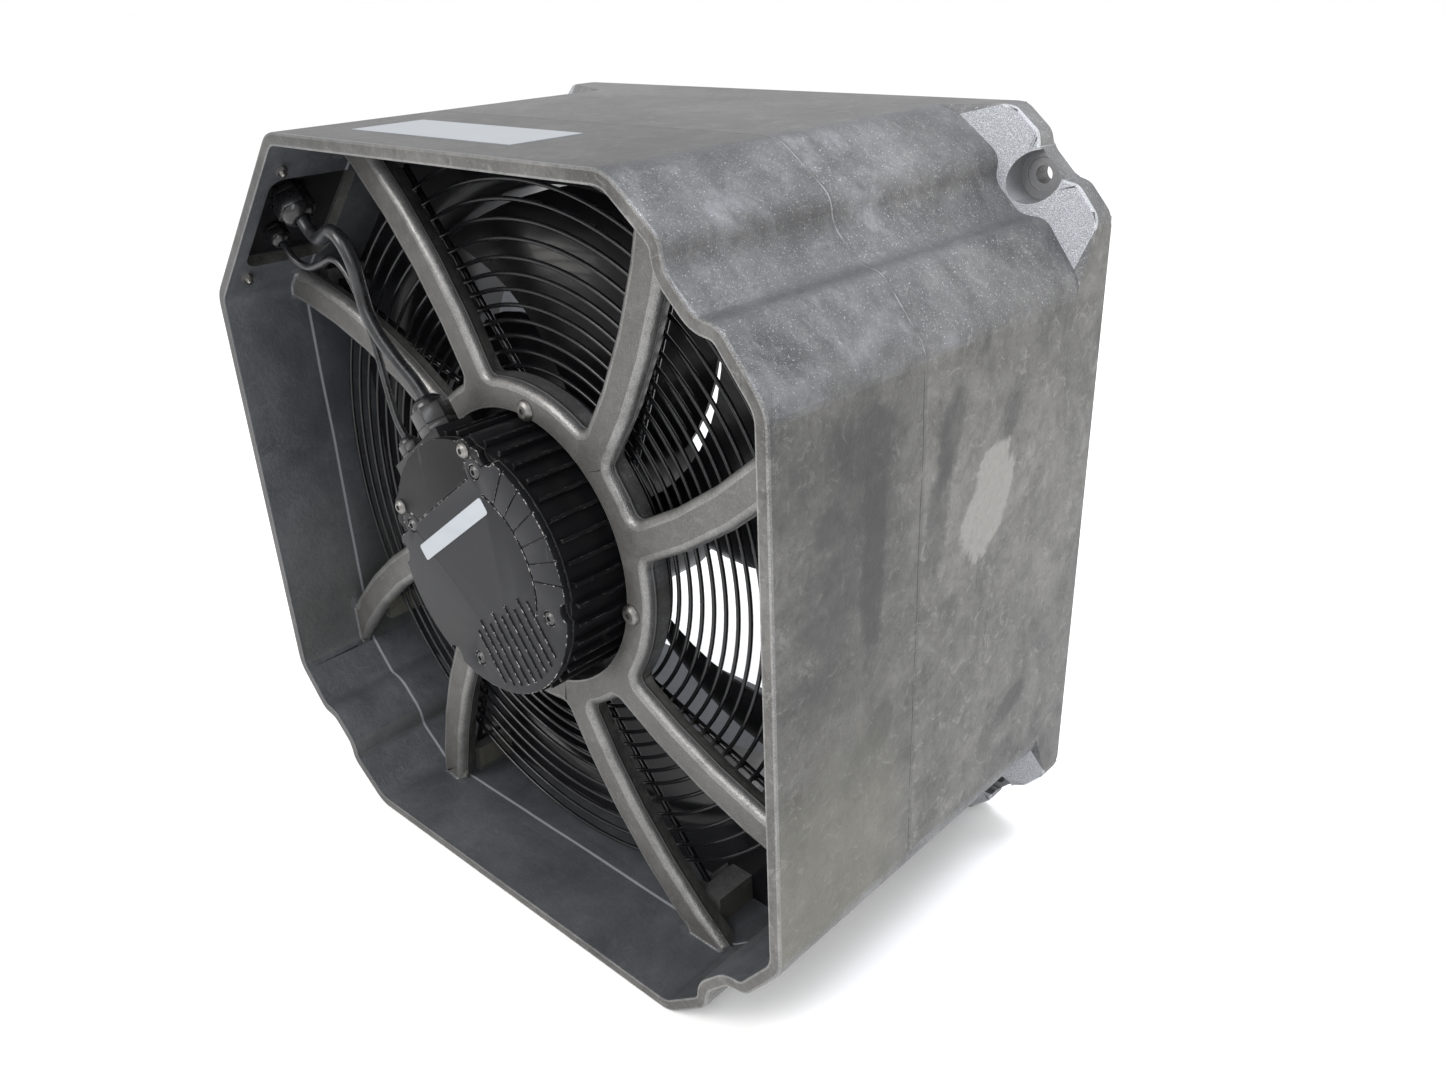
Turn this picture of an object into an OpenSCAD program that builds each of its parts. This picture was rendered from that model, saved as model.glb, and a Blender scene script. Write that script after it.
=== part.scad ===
// Axial air mover: square die-cast housing with eight curved spokes, an external-rotor
// motor on the hub ring, a wire finger guard, a black inlet nozzle and a five-blade impeller.
// Origin: fan axis in the rear mounting face. +Z up, the open front faces -Y. Millimetres.

/* [Housing] */
// Width and height of the square housing
body_size = 530; // [510:5:570]
// Depth from the front rim to the rear mounting face
body_depth = 320; // [305:5:360]
// Wall thickness of the casting
wall = 8.5; // [7:0.5:10]
// Length cut from each side at the three notched corners
corner_cut = 97; // [92:1:100]
// Distance of the notch shoulder from the corner, along the side
notch_shoulder = 62; // [60:1:66]
// Depth of the notch shoulder below the side
notch_drop = 28; // [24:1:31]
// Depth of the notch floor below the side
notch_floor = 42; // [40:1:46]
// Length cut from each side at the cable corner
cable_corner_cut = 119; // [114:1:124]

/* [Rear ears] */
// Spacing of the four mounting holes, both ways
bolt_pitch = 450; // [446:1:454]
// Diameter of the mounting holes
bolt_hole_d = 11; // [9:0.5:13]
// Diameter of the screw pocket in front of each ear
pocket_d = 30; // [26:1:30]
// Thickness of the ear under the bolt head
ear_thickness = 15; // [12:1:18]
// Length cut from each side at the ear's outer corner
ear_cut = 62; // [58:1:66]

/* [Spokes and hub ring] */
// Distance of the hub ring's face behind the front rim
ring_setback = 54; // [50:1:60]
// Depth of the hub ring and spokes, front to back
ring_depth = 19; // [17:1:24]
// Bore of the hub ring
ring_bore_d = 194; // [190:1:197]
// Outer diameter of the hub ring
ring_outer_d = 234; // [230:1:238]
// Width of one spoke at its front
spoke_w = 26; // [22:1:28]
// Width of the rib along a spoke's back
spoke_back_w = 13; // [10:1:16]
// Thickness of a spoke's front part, before its rib
spoke_front_t = 7; // [6:1:9]
// Lean of a spoke, in degrees per 100 mm of radius
spoke_lean = 7; // [5:0.5:9]
// Angle of the spoke root nearer the horizontal, below the side's middle
spoke_angle_a = 29.5; // [28:0.5:31]
// Angle of the spoke root farther from the horizontal
spoke_angle_b = 60; // [59:0.5:62]
// Radius of the circle through the hub screws
hub_screw_r = 102; // [101:0.5:103]

/* [Finger guard] */
// Distance of the ring wires' middle behind the spokes
guard_setback = 6.5; // [6:0.5:8]
// Diameter of the ring wires
ring_wire_d = 3; // [2.5:0.5:4]
// Diameter of the radial rods
rod_d = 5; // [4:0.5:6]
// Distance from the hub ring's edge in to the innermost ring wire, which lies behind the ring
guard_first_inset = 6; // [5:0.5:6.5]
// Distance from the innermost ring wire to the second one
guard_second_gap = 7.5; // [7:0.25:8]
// Pitch of the inner ring wires
guard_pitch_in = 10; // [9.5:0.25:10.5]
// Pitch of the outer ring wires
guard_pitch_out = 12; // [11.5:0.25:12.5]

/* [Nozzle and impeller] */
// Inner diameter of the nozzle's throat
throat_d = 454; // [450:1:458]
// Gap between the blade tips and the throat
tip_gap = 4; // [3:0.5:6]
// Number of blades
blade_count = 5; // [4:1:7]
// Outer diameter of the impeller's hub
impeller_hub_d = 124; // [122:1:130]
// Thickness of the nozzle's sheet
nozzle_t = 3; // [2:0.5:4]
// Distance from the spokes' back to the nozzle plate
nozzle_gap = 34; // [30:1:38]

/* [Motor] */
// Turn of the motor about the fan axis, in degrees
motor_turn = 36; // [34:1:38]
// How far the motor's face stands in front of the hub ring
motor_reach = 41; // [37:1:45]
// Diameter of the motor's cover
cover_d = 177; // [175:1:179]
// Thickness of the cover and of the terminal lid
cover_t = 5; // [4:0.5:6]
// Radius of the circle through the cover screws
cover_screw_r = 72; // [71:0.5:73]
// Distance of the seam between cover and terminal lid from the axis
seam_v = 50.5; // [50:0.5:52]
// Diameter of the shaft
shaft_d = 15; // [12:1:16]
// Outer diameter of the bearings
bearing_d = 35; // [33:1:36]
// Width of a bearing
bearing_w = 11; // [9:1:12]
// Outer diameter of the rotor bell
bell_d = 116; // [115:0.5:117]
// Length of the stator core
core_len = 38; // [30:1:42]

/* [Cable corner] */
// Half width of the window in the corner wall
window_half = 46; // [42:1:48]
// Distance of the window's front edge behind the rim
window_front = 9; // [8:1:12]
// Length of the window, front to back
window_len = 64; // [58:1:66]
// Thickness of the cable entry plate
entry_plate_t = 3; // [2:0.5:4]
// Distance of each gland from the middle of the entry plate
gland_offset = 19; // [18:0.5:21]
// Diameter of the power lead
power_lead_d = 10; // [9:0.5:10.5]
// Diameter of the signal lead
signal_lead_d = 5.5; // [5:0.5:6]

/* [Clearances] */
// Radial clearance of a running fit
run_fit = 0.05; // [0.02:0.01:0.1]
// Clearance between pieces that are pushed together
slip_fit = 0.02; // [0.01:0.01:0.05]
// Radial clearance of a screw in its through hole
screw_clear = 0.25; // [0.2:0.05:0.5]

/* [Hidden] */
$fn = 96;
e = 0.5;
half = body_size / 2;
half_in = half - wall;
front = -body_depth;
ring_front = front + ring_setback;
ring_back = ring_front + ring_depth;
ring_bore_r = ring_bore_d / 2;
ring_outer_r = ring_outer_d / 2;
flange_r = ring_outer_r - 9.5;

// ---------- plane geometry ----------
function unit(v) = v / norm(v);
function polar(r, a) = [r * cos(a), r * sin(a)];
function turn(P, a) = [for (p = P) [p[0] * cos(a) - p[1] * sin(a), p[0] * sin(a) + p[1] * cos(a)]];
// moves every side of a counter-clockwise outline inwards by d
function inset(P, d) = [for (i = [0:len(P) - 1]) let (
    a = P[(i + len(P) - 1) % len(P)], p = P[i], b = P[(i + 1) % len(P)],
    u = unit(p - a), v = unit(b - p), m = [-u[1], u[0]], n = [-v[1], v[0]])
  p + d * (m + n) / (1 + m * n)];
function sweep_angle(a, b) = ((b - a + 540) % 360) - 180;
function corner_arc(a, p, b, r, n) = let (
    u = unit(a - p), v = unit(b - p), w = acos(max(-1, min(1, u * v))) / 2,
    c = p + unit(u + v) * r / sin(w), s = p + u * r / tan(w), t = p + v * r / tan(w),
    s0 = atan2(s[1] - c[1], s[0] - c[0]), ds = sweep_angle(s0, atan2(t[1] - c[1], t[0] - c[0])))
  [for (i = [0:n]) c + polar(r, s0 + ds * i / n)];
// rounds the corners of an outline, one radius for each, 0 leaves a corner sharp
function rounded(P, R, n = 5) = [for (i = [0:len(P) - 1]) let (m = len(P),
    q = R[i] == 0 ? [P[i]] : corner_arc(P[(i + m - 1) % m], P[i], P[(i + 1) % m], R[i], n))
  for (p = q) p];
// a radius after the outline has moved inwards by d: negative marks a hollow corner
function radius_in(r, d) = r < 0 ? -r + d : max(r - d, 1.5);

// the three notched corners and the plain cable corner, counter-clockwise from the right
notch = [[half, half - corner_cut], [half - notch_drop, half - notch_shoulder],
  [half - notch_floor, half - notch_shoulder + 1.2], [half - notch_shoulder + 1.2, half - notch_floor],
  [half - notch_shoulder, half - notch_drop], [half - corner_cut, half]];
notch_r = [25, 16, -16, -16, 16, 25];
body_pts = concat(notch, [[cable_corner_cut - half, half], [-half, half - cable_corner_cut]],
  turn(notch, 180), turn(notch, 270));
body_r = concat(notch_r, [20, 20], notch_r, notch_r);
function body_outline(d) = rounded(inset(body_pts, d), [for (r = body_r) radius_in(r, d)]);
ear_notch = [[half, half - ear_cut], [half - 15.5, half - 44], [half - 26, half - 41],
  [half - 41, half - 26], [half - 44, half - 15.5], [half - ear_cut, half]];
ear_r = [14, 12, 12, 12, 12, 14];
ear_pts = concat(ear_notch, turn(ear_notch, 90), turn(ear_notch, 180), turn(ear_notch, 270));
ear_outline = rounded(ear_pts, concat(ear_r, ear_r, ear_r, ear_r));

// a flat outline in X and Z, drawn from y0 to y1
module slab(y0, y1) {
  translate([0, y1, 0]) rotate([90, 0, 0]) linear_extrude(height = y1 - y0) children();
}
// a disc or drum about the fan axis, or about a parallel axis through p
module drum(r, y0, y1, p = [0, 0]) {
  translate([p[0], y1, p[1]]) rotate([90, 0, 0]) cylinder(r = r, h = y1 - y0);
}
// a turned piece: its profile is a list of [radius, y]
module turned(P, p = [0, 0]) {
  translate([p[0], 0, p[1]]) rotate([90, 0, 0]) rotate_extrude() polygon([for (q = P) [q[0], -q[1]]]);
}
module ring(r0, r1, y0, y1, p = [0, 0]) {
  turned([[r0, y0], [r1, y0], [r1, y1], [r0, y1]], p);
}
// a turn in the plane of the fan, counter-clockwise from the front
module spin(a) {
  rotate([0, -a, 0]) children();
}

// ---------- spokes ----------
spoke_ref_r = 294;
spoke_angles = [for (k = [0:3]) for (a = [-spoke_angle_b, -spoke_angle_a]) a + 90 * k];
function spoke_at(k, r) = spoke_angles[k % 8] + (k > 7 ? 360 : 0) - spoke_lean / 100 * (spoke_ref_r - r);
function spoke_half(r, w) = w / 2 * sqrt(1 + pow(r * spoke_lean / 100 * PI / 180, 2)) / r * 180 / PI;
function spoke_edge(k, r, side, w) = polar(r, spoke_at(k, r) + side * spoke_half(r, w));
spoke_steps = [for (i = [0:7]) ring_outer_r + (1.5 * half - ring_outer_r) * i / 7];
function gap_outline(k, w) = let (
    a0 = spoke_at(k, ring_outer_r) + spoke_half(ring_outer_r, w),
    a1 = spoke_at(k + 1, ring_outer_r) - spoke_half(ring_outer_r, w),
    n = (a1 - a0) > 30 ? 9 : 4)
  rounded(concat([for (r = spoke_steps) spoke_edge(k, r, 1, w)],
      [for (i = [7:-1:0]) spoke_edge(k + 1, spoke_steps[i], -1, w)],
      [for (i = [n - 1:-1:1]) polar(ring_outer_r, a0 + (a1 - a0) * i / n)]),
    concat([7], [for (i = [1:14]) 0], [7], [for (i = [1:n - 1]) 0]));
// the air gap between two spokes: wider behind their front part, where each spoke is a narrower rib
module gap(k) {
  slab(ring_front - e, ring_back + e) polygon(gap_outline(k, spoke_w));
  slab(ring_front + spoke_front_t, ring_back + e) polygon(gap_outline(k, spoke_back_w));
}
// bosses behind the spoke roots, which carry the nozzle plate
boss_w = 24;
boss_t = 22;
boss_screw_in = 11;
nozzle_front = ring_back + nozzle_gap;
function root_at(k) = let (a = spoke_at(k, spoke_ref_r - 16)) polar(spoke_ref_r - 16, a);
function boss_at(k) = let (p = root_at(k))
  abs(p[0]) > abs(p[1]) ? [sign(p[0]) * (half_in - boss_screw_in), p[1]]
  : [p[0], sign(p[1]) * (half_in - boss_screw_in)];
nozzle_screw_r = 2.5;
nozzle_hole_depth = 14;

// ---------- ears ----------
ear_slope = 0.63;
ear_rise = 36.5;
function ear_front(d) = -ear_rise + ear_slope * (d - (half - (notch_shoulder + notch_floor) / 2) * sqrt(2));
ear_in = half * 1.05;
ear_out = half * 1.4;
module ear(k) {
  intersection() {
    slab(-3 * ear_rise, 0) polygon(ear_outline);
    rotate([0, -45 - 90 * k, 0]) translate([0, 0, -half]) linear_extrude(height = 2 * half)
      polygon([[ear_in, ear_front(ear_in)], [ear_out, ear_front(ear_out)], [ear_out, 0], [ear_in, 0]]);
  }
}
function bolt_at(k) = turn([[bolt_pitch / 2, bolt_pitch / 2]], 90 * k)[0];
pocket_land_d = 21;

// ---------- cable corner: s runs along the corner wall, d outwards from the axis ----------
corner_d = (2 * half - cable_corner_cut) / sqrt(2);
module at_corner() {
  rotate([0, -135, 0]) children();
}
// in here +X points outwards through the corner wall, -Z along the wall towards the top
window_y0 = front + window_front;
window_y1 = window_y0 + window_len;
module window_block(h, y0, y1, r, d0, d1) {
  translate([d0, 0, 0]) rotate([90, 0, 90]) linear_extrude(height = d1 - d0)
    polygon(rounded([[y0, -h], [y1, -h], [y1, h], [y0, h]], [r, r, r, r]));
}
entry_screw_s = window_half + 10.5;
entry_screw_ys = [window_y0 + 4, window_y1 - 1];
entry_screw_r = 2;
entry_gasket_t = 1.5;
plate_d0 = corner_d + entry_gasket_t;
plate_d1 = plate_d0 + entry_plate_t;
plate_half = entry_screw_s + 13.5;
plate_y0 = front + 6;
plate_y1 = window_y1 + 8;
gland_y = window_y0 + 21.5;

module housing() {
  color([0.62, 0.61, 0.59]) difference() {
    union() {
      slab(front, 0) polygon(body_outline(0));
      for (k = [0:3]) ear(k);
    }
    slab(front - e, ring_front) polygon(body_outline(wall));
    difference() {
      slab(ring_back, e) polygon(body_outline(wall));
      for (k = [0:7]) boss(k);
    }
    for (k = [0:7]) intersection() {
      gap(k);
      slab(ring_front - 2 * e, ring_back + 2 * e) polygon(body_outline(wall));
    }
    drum(ring_bore_r, ring_front - e, ring_back + e);
    for (k = [0:3]) drum(hub_screw_d / 2 + screw_clear, ring_front - e, ring_back + e, hub_screw_at(k));
    for (k = [0:7]) drum(nozzle_screw_r, nozzle_front - nozzle_hole_depth, nozzle_front + e, boss_at(k));
    for (k = [0:7]) along_rod(k) translate([-rod_d / 2 - rod_slot_clear, -rod_d / 2, 0])
      cube([rod_d + 2 * rod_slot_clear, nozzle_gap + e, rod_len(k, rod_slot_depth)]);
    for (k = [0:3]) {
      drum(bolt_hole_d / 2, -ear_thickness - 9, e, bolt_at(k));
      drum(pocket_d / 2, -4 * ear_rise, -ear_thickness, bolt_at(k));
      drum(pocket_land_d / 2, -4 * ear_rise, 1 - ear_thickness, bolt_at(k));
    }
    at_corner() {
      window_block(window_half, window_y0, window_y1, 10, corner_d - 3 * wall, corner_d + e);
      for (s = [-1, 1]) for (y = entry_screw_ys) translate([corner_d - 3 * wall, y, s * entry_screw_s])
        rotate([0, 90, 0]) cylinder(r = entry_screw_r + screw_clear, h = 4 * wall);
    }
  }
}
module boss(k) {
  p = boss_at(k);
  side = abs(p[0]) > abs(p[1]);
  w = side ? [boss_t + wall, boss_w] : [boss_w, boss_t + wall];
  c = side ? [p[0] + sign(p[0]) * wall / 2, p[1]] : [p[0], p[1] + sign(p[1]) * wall / 2];
  translate([c[0] - w[0] / 2, ring_back - e, c[1] - w[1] / 2]) cube([w[0], nozzle_gap + e, w[1]]);
}

// ---------- screws ----------
hub_screw_d = 5;
hub_screw_head_d = 14.5;
hub_screw_len = 30;
function hub_screw_at(k) = polar(hub_screw_r, motor_turn + 45 + 90 * k);
// a button-head screw along Y with its head's seat at y, pointing to +Y (dir 1) or -Y (dir -1)
module button_screw(p, y, d, len, head_d, head_h, dir = 1) {
  difference() {
    turned([[0, y], [0, y - dir * head_h], [head_d * 0.3, y - dir * head_h],
      [head_d * 0.44, y - dir * head_h * 0.6], [head_d / 2, y - dir * 0.6], [head_d / 2, y]], p);
    translate([p[0], y - dir * head_h, p[1]]) rotate([90, 0, 0])
      cylinder(r = d * 0.4, h = head_h, center = true, $fn = 6);
  }
  drum(d / 2, dir > 0 ? y : y - len, dir > 0 ? y + len : y, p);
}
module hub_screws() {
  color([0.55, 0.54, 0.5]) for (k = [0:3])
    button_screw(hub_screw_at(k), ring_front, hub_screw_d, hub_screw_len, hub_screw_head_d, 3.4);
}

// ---------- finger guard ----------
wire_y = ring_back + guard_setback;
rod_y = wire_y + (ring_wire_d + rod_d) / 2 - 0.3;
guard_first_r = ring_outer_r - guard_first_inset;
guard_second_r = guard_first_r + guard_second_gap;
guard_edge_gap = 6;
inner_rings = 7;
outer_rings = floor((half_in - guard_edge_gap - guard_second_r - guard_pitch_in * inner_rings) / guard_pitch_out);
guard_rings = concat([guard_first_r], [for (i = [0:inner_rings]) guard_second_r + guard_pitch_in * i],
  [for (i = [1:outer_rings]) guard_second_r + guard_pitch_in * inner_rings + guard_pitch_out * i]);
// each rod runs straight behind the rings and its spoke, and ends in a slot of the boss at the spoke's root
rod_in_r = flange_r - 1;
rod_skew = 7;
rod_slot_depth = 6;
rod_slot_clear = 0.3;
function rod_start(k) = polar(rod_in_r, spoke_at(k, rod_in_r) - rod_skew);
function rod_aim(k) = unit(polar(half - 2, spoke_at(k, half - 2)) - rod_start(k));
function rod_len(k, depth) = let (a = rod_start(k), u = rod_aim(k), p = boss_at(k),
    i = abs(p[0]) > abs(p[1]) ? 0 : 1)
  (sign(p[i]) * (half_in - boss_t + depth) - a[i]) / u[i];
module finger_guard() {
  color([0.06, 0.06, 0.07]) union() {
    for (r = guard_rings) rotate([90, 0, 0]) rotate_extrude()
      translate([r, -wire_y]) circle(d = ring_wire_d, $fn = 16);
    for (k = [0:7]) along_rod(k) cylinder(d = rod_d, h = rod_len(k, rod_slot_depth - rod_slot_clear));
  }
}
// in here +Z runs outwards along a rod's middle line
module along_rod(k) {
  a = rod_start(k);
  u = rod_aim(k);
  translate([a[0], rod_y, a[1]]) rotate([0, 90 - atan2(u[1], u[0]), 0]) children();
}

// ---------- nozzle ----------
throat_r = throat_d / 2;
bell_r = 14;
nozzle_len = 96;
nozzle_edge_gap = 1;
module inlet_nozzle() {
  plate_hole_r = throat_r + bell_r;
  color([0.05, 0.05, 0.06]) difference() {
    union() {
      slab(nozzle_front, nozzle_front + nozzle_t) polygon(body_outline(wall + nozzle_edge_gap));
      turned(concat([[plate_hole_r + 4, nozzle_front]],
        [for (i = [0:8]) [plate_hole_r - bell_r * sin(i * 11.25), nozzle_front + bell_r * (1 - cos(i * 11.25))]],
        [[throat_r, nozzle_front + nozzle_len], [throat_r + nozzle_t, nozzle_front + nozzle_len],
        [throat_r + nozzle_t, nozzle_front + bell_r + 3], [plate_hole_r + 4, nozzle_front + nozzle_t]]));
    }
    turned([[0, nozzle_front - e], [plate_hole_r, nozzle_front - e], [plate_hole_r, nozzle_front],
      for (i = [1:8]) [plate_hole_r - bell_r * sin(i * 11.25), nozzle_front + bell_r * (1 - cos(i * 11.25))],
      [throat_r, nozzle_front + nozzle_len + e], [0, nozzle_front + nozzle_len + e]]);
    for (k = [0:7]) drum(nozzle_screw_r + screw_clear, nozzle_front - e, nozzle_front + nozzle_t + e, boss_at(k));
  }
}
nozzle_screw_len = 12;
nozzle_screw_head = [9.5, 2.8];
module nozzle_screws() {
  color([0.2, 0.2, 0.2]) for (k = [0:7])
    button_screw(boss_at(k), nozzle_front + nozzle_t, 2 * nozzle_screw_r - 2 * slip_fit, nozzle_screw_len,
      nozzle_screw_head[0], nozzle_screw_head[1], -1);
}

// ---------- motor ----------
motor_front = ring_front - motor_reach;
cover_r = cover_d / 2;
gasket_t = 0.8;
case_front = motor_front + cover_t + gasket_t;
flange_front = ring_back;
flange_t = 7;
flange_back = flange_front + flange_t;
case_r = cover_r - 2;
case_wall = 8;
floor_y = flange_front - 10;
board_y = floor_y - 10;
board_t = 1.6;
board_r = 66;
fin_count = 40;
fin_r = ring_bore_r - 6;
cover_screw_d = 5;
lid_screw_r = 84;
lid_screw_angle = 38.4;
lid_lug_r = 7.5;
cover_lug_r = 9.5;
case_lug_r = cover_lug_r - 1.5;
joint_gap = 0.4;
function cover_screw_at(k) = polar(cover_screw_r, motor_turn + 45 + 90 * k);
function lid_screw_at(k) = polar(lid_screw_r, motor_turn + 90 + (k == 0 ? -1 : 1) * lid_screw_angle);
// entry block that carries the two glands, in the motor's own turned frame
block_u0 = -44;
block_u1 = 25;
block_v = 92;
block_y1 = case_front + 28;
motor_gland_y = case_front + 12;
power_gland_u = 10;
signal_gland_u = -35;
tube_r = bearing_d / 2 + 4;
front_bearing_y = flange_back - bearing_w + 2;
core_y0 = flange_back + 26;
core_y1 = core_y0 + core_len;
bell_y0 = flange_back + 8;
bell_y1 = core_y1 + 28;
bell_end_t = 4;
tube_end = bell_y1 - bell_end_t - 6;
rear_bearing_y = tube_end - bearing_w;
module box_uv(u0, u1, v0, v1, y0, y1) {
  spin(motor_turn) translate([u0, y0, v0]) cube([u1 - u0, y1 - y0, v1 - v0]);
}
module along_v(u, y, v0, r, h, n = 96) {
  spin(motor_turn) translate([u, y, v0]) cylinder(r = r, h = h, $fn = n);
}
module motor_housing() {
  color([0.07, 0.07, 0.08]) difference() {
    union() {
      turned([[0, case_front], [case_r, case_front], [case_r, flange_front], [flange_r, flange_front],
        [flange_r, flange_back], [tube_r, flange_back], [tube_r, tube_end], [0, tube_end]]);
      for (i = [0:fin_count - 1]) spin(motor_turn + i * 360 / fin_count)
        translate([case_r - 3, case_front + 3, -1.2]) cube([fin_r - case_r + 3, flange_front - case_front - 2, 2.4]);
      box_uv(block_u0, block_u1, seam_v, block_v, case_front, block_y1);
      for (k = [0:1]) drum(lid_lug_r, case_front, flange_front + e, lid_screw_at(k));
    }
    // electronics and terminal compartments, with a wall between them and a boss at each screw
    difference() {
      drum(case_r - case_wall, case_front - e, floor_y);
      for (k = [0:3]) drum(case_lug_r, case_front - 2 * e, floor_y + e, cover_screw_at(k));
      box_uv(-cover_r, cover_r, seam_v - 5, seam_v + 3, case_front - 2 * e, floor_y + e);
      for (k = [0:3]) drum(4, board_y + board_t, floor_y + e, board_post_at(k));
    }
    for (k = [0:3]) drum(cover_screw_d / 2 + slip_fit, case_front - e, case_front + 16, cover_screw_at(k));
    for (k = [0:1]) drum(cover_screw_d / 2 + slip_fit, case_front - e, case_front + 16, lid_screw_at(k));
    for (k = [0:3]) drum(1.5 + slip_fit, board_y, floor_y + 2, board_post_at(k));
    for (k = [0:3]) drum(hub_screw_d / 2 + slip_fit, flange_front - e, flange_back + e, hub_screw_at(k));
    along_v(power_gland_u, motor_gland_y, seam_v + 8, power_thread_r + slip_fit, block_v);
    along_v(signal_gland_u, motor_gland_y, seam_v + 8, signal_thread_r + slip_fit, block_v);
    // bearing seats and the shaft's end
    drum(bearing_d / 2 + slip_fit, front_bearing_y, tube_end + e);
    drum(shaft_d / 2 + 3, shaft_front - 1, front_bearing_y + e);
  }
}
function board_post_at(k) = polar(52, motor_turn + [-30, -75, -105, -150][k]);
notch_angles = [73.5, -1.5, 189, 243];
module cover_blank(y0, y1, g) {
  difference() {
    union() {
      difference() {
        drum(cover_r, y0, y1);
        box_uv(-cover_r - 5, cover_r + 5, seam_v - g, cover_r + 5, y0 - e, y1 + e);
      }
      for (k = [0:1]) drum(cover_lug_r, y0, y1, cover_screw_at(k));
    }
    for (a = notch_angles) drum(7, y0 - e, y1 + e, polar(cover_r + 1, a));
    for (k = [0:3]) drum(cover_screw_d / 2 + screw_clear, y0 - e, y1 + e, cover_screw_at(k));
  }
}
module lid_blank(y0, y1, g) {
  difference() {
    union() {
      difference() {
        drum(cover_r, y0, y1);
        box_uv(-cover_r - 5, cover_r + 5, -cover_r - 5, seam_v + g, y0 - e, y1 + e);
      }
      for (k = [0:1]) drum(lid_lug_r, y0, y1, lid_screw_at(k));
    }
    for (k = [0:1]) drum(cover_lug_r + 2 * g, y0 - e, y1 + e, cover_screw_at(k));
    for (k = [0:1]) drum(cover_screw_d / 2 + screw_clear, y0 - e, y1 + e, lid_screw_at(k));
    for (a = [73.5, motor_turn + 142.5]) drum(7, y0 - e, y1 + e, polar(cover_r + 1, a));
  }
}
rib_count = 9;
rib_pitch = 9;
rib_h = 1;
module motor_cover() {
  color([0.09, 0.09, 0.1]) difference() {
    union() {
      cover_blank(motor_front, motor_front + cover_t, joint_gap / 2);
      for (i = [0:rib_count - 1]) box_uv((i - 4) * rib_pitch - 0.9, (i - 4) * rib_pitch + 0.9,
        -sqrt(pow(cover_r - 6, 2) - pow((i - 4) * rib_pitch, 2)), -34 + 5 * (i % 2),
        motor_front - rib_h, motor_front + e);
    }
    for (k = [0:3]) drum(5.2, motor_front - 2, motor_front + 1.6, cover_screw_at(k));
    intersection() {
      ring(59, 60.4, motor_front - 2, motor_front + 1);
      box_uv(-10, cover_r, -45, seam_v - 14, motor_front - 3, motor_front + 2);
    }
    for (i = [0:5]) spin(motor_turn + 27 - 10.5 * i) translate([60, motor_front - 2, -0.5]) cube([40, 3, 1]);
  }
}
module cover_gasket() {
  color([0.15, 0.15, 0.15]) difference() {
    cover_blank(motor_front + cover_t, case_front, joint_gap / 2);
    difference() {
      drum(case_r - case_wall, motor_front, case_front + e);
      for (k = [0:3]) drum(case_lug_r, motor_front - e, case_front + 2 * e, cover_screw_at(k));
      box_uv(-cover_r, cover_r, seam_v - 5, cover_r, motor_front - e, case_front + 2 * e);
    }
  }
}
module cover_screws() {
  color([0.12, 0.12, 0.12]) for (k = [0:3])
    button_screw(cover_screw_at(k), motor_front + 1.6, cover_screw_d, 16, 9.5, 2.4);
}
module terminal_lid() {
  color([0.1, 0.1, 0.11]) lid_blank(motor_front, motor_front + cover_t, joint_gap / 2);
}
module lid_gasket() {
  color([0.15, 0.15, 0.15]) difference() {
    lid_blank(motor_front + cover_t, case_front, joint_gap / 2);
    difference() {
      drum(case_r - case_wall, motor_front, case_front + e);
      box_uv(-cover_r, cover_r, -cover_r, seam_v + 3, motor_front - e, case_front + 2 * e);
      for (k = [0:1]) drum(cover_lug_r + 2, motor_front - e, case_front + 2 * e, cover_screw_at(k));
    }
  }
}
module lid_screws() {
  color([0.75, 0.75, 0.72]) for (k = [0:1])
    button_screw(lid_screw_at(k), motor_front, cover_screw_d, 18, 10.5, 3);
}
module circuit_board() {
  color([0.1, 0.35, 0.15]) difference() {
    union() {
      drum(board_r, board_y, board_y + board_t);
      for (q = [[-22, -20], [14, -34], [26, -8]]) drum(9, board_y - 24, board_y + e, turn([q], motor_turn)[0]);
      box_uv(-46, -30, -14, 18, board_y - 16, board_y + e);
    }
    box_uv(-cover_r, cover_r, seam_v - 8, cover_r, board_y - 30, board_y + 5);
    for (k = [0:3]) drum(case_lug_r + 1, board_y - e, board_y + board_t + e, cover_screw_at(k));
    for (k = [0:3]) drum(1.5 + screw_clear, board_y - e, board_y + board_t + e, board_post_at(k));
  }
}
module board_screws() {
  color([0.7, 0.7, 0.68]) for (k = [0:3]) button_screw(board_post_at(k), board_y, 3, 9, 5.6, 1.8);
}
module terminal_block() {
  color([0.85, 0.85, 0.82]) difference() {
    box_uv(-32, 28, seam_v + 5, seam_v + 17, floor_y - 26, floor_y);
    for (i = [0:5]) spin(motor_turn) translate([-27 + 10 * i, floor_y - 27, seam_v + 11]) rotate([-90, 0, 0])
      cylinder(r = 2.6, h = 14);
  }
}
slot_count = 12;
core_r = bell_d / 2 - 7;
module stator_core() {
  color([0.45, 0.45, 0.47]) difference() {
    ring(tube_r + slip_fit, core_r, core_y0, core_y1);
    for (i = [0:slot_count - 1]) spin(i * 360 / slot_count) {
      slab(core_y0 - e, core_y1 + e) polygon([[tube_r + 5, -2.6], [core_r - 3.5, -8.6],
        [core_r - 3.5, 8.6], [tube_r + 5, 2.6]]);
      translate([core_r - 5, core_y0 - e, -1.4]) cube([8, core_len + 2 * e, 2.8]);
    }
  }
}
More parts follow.
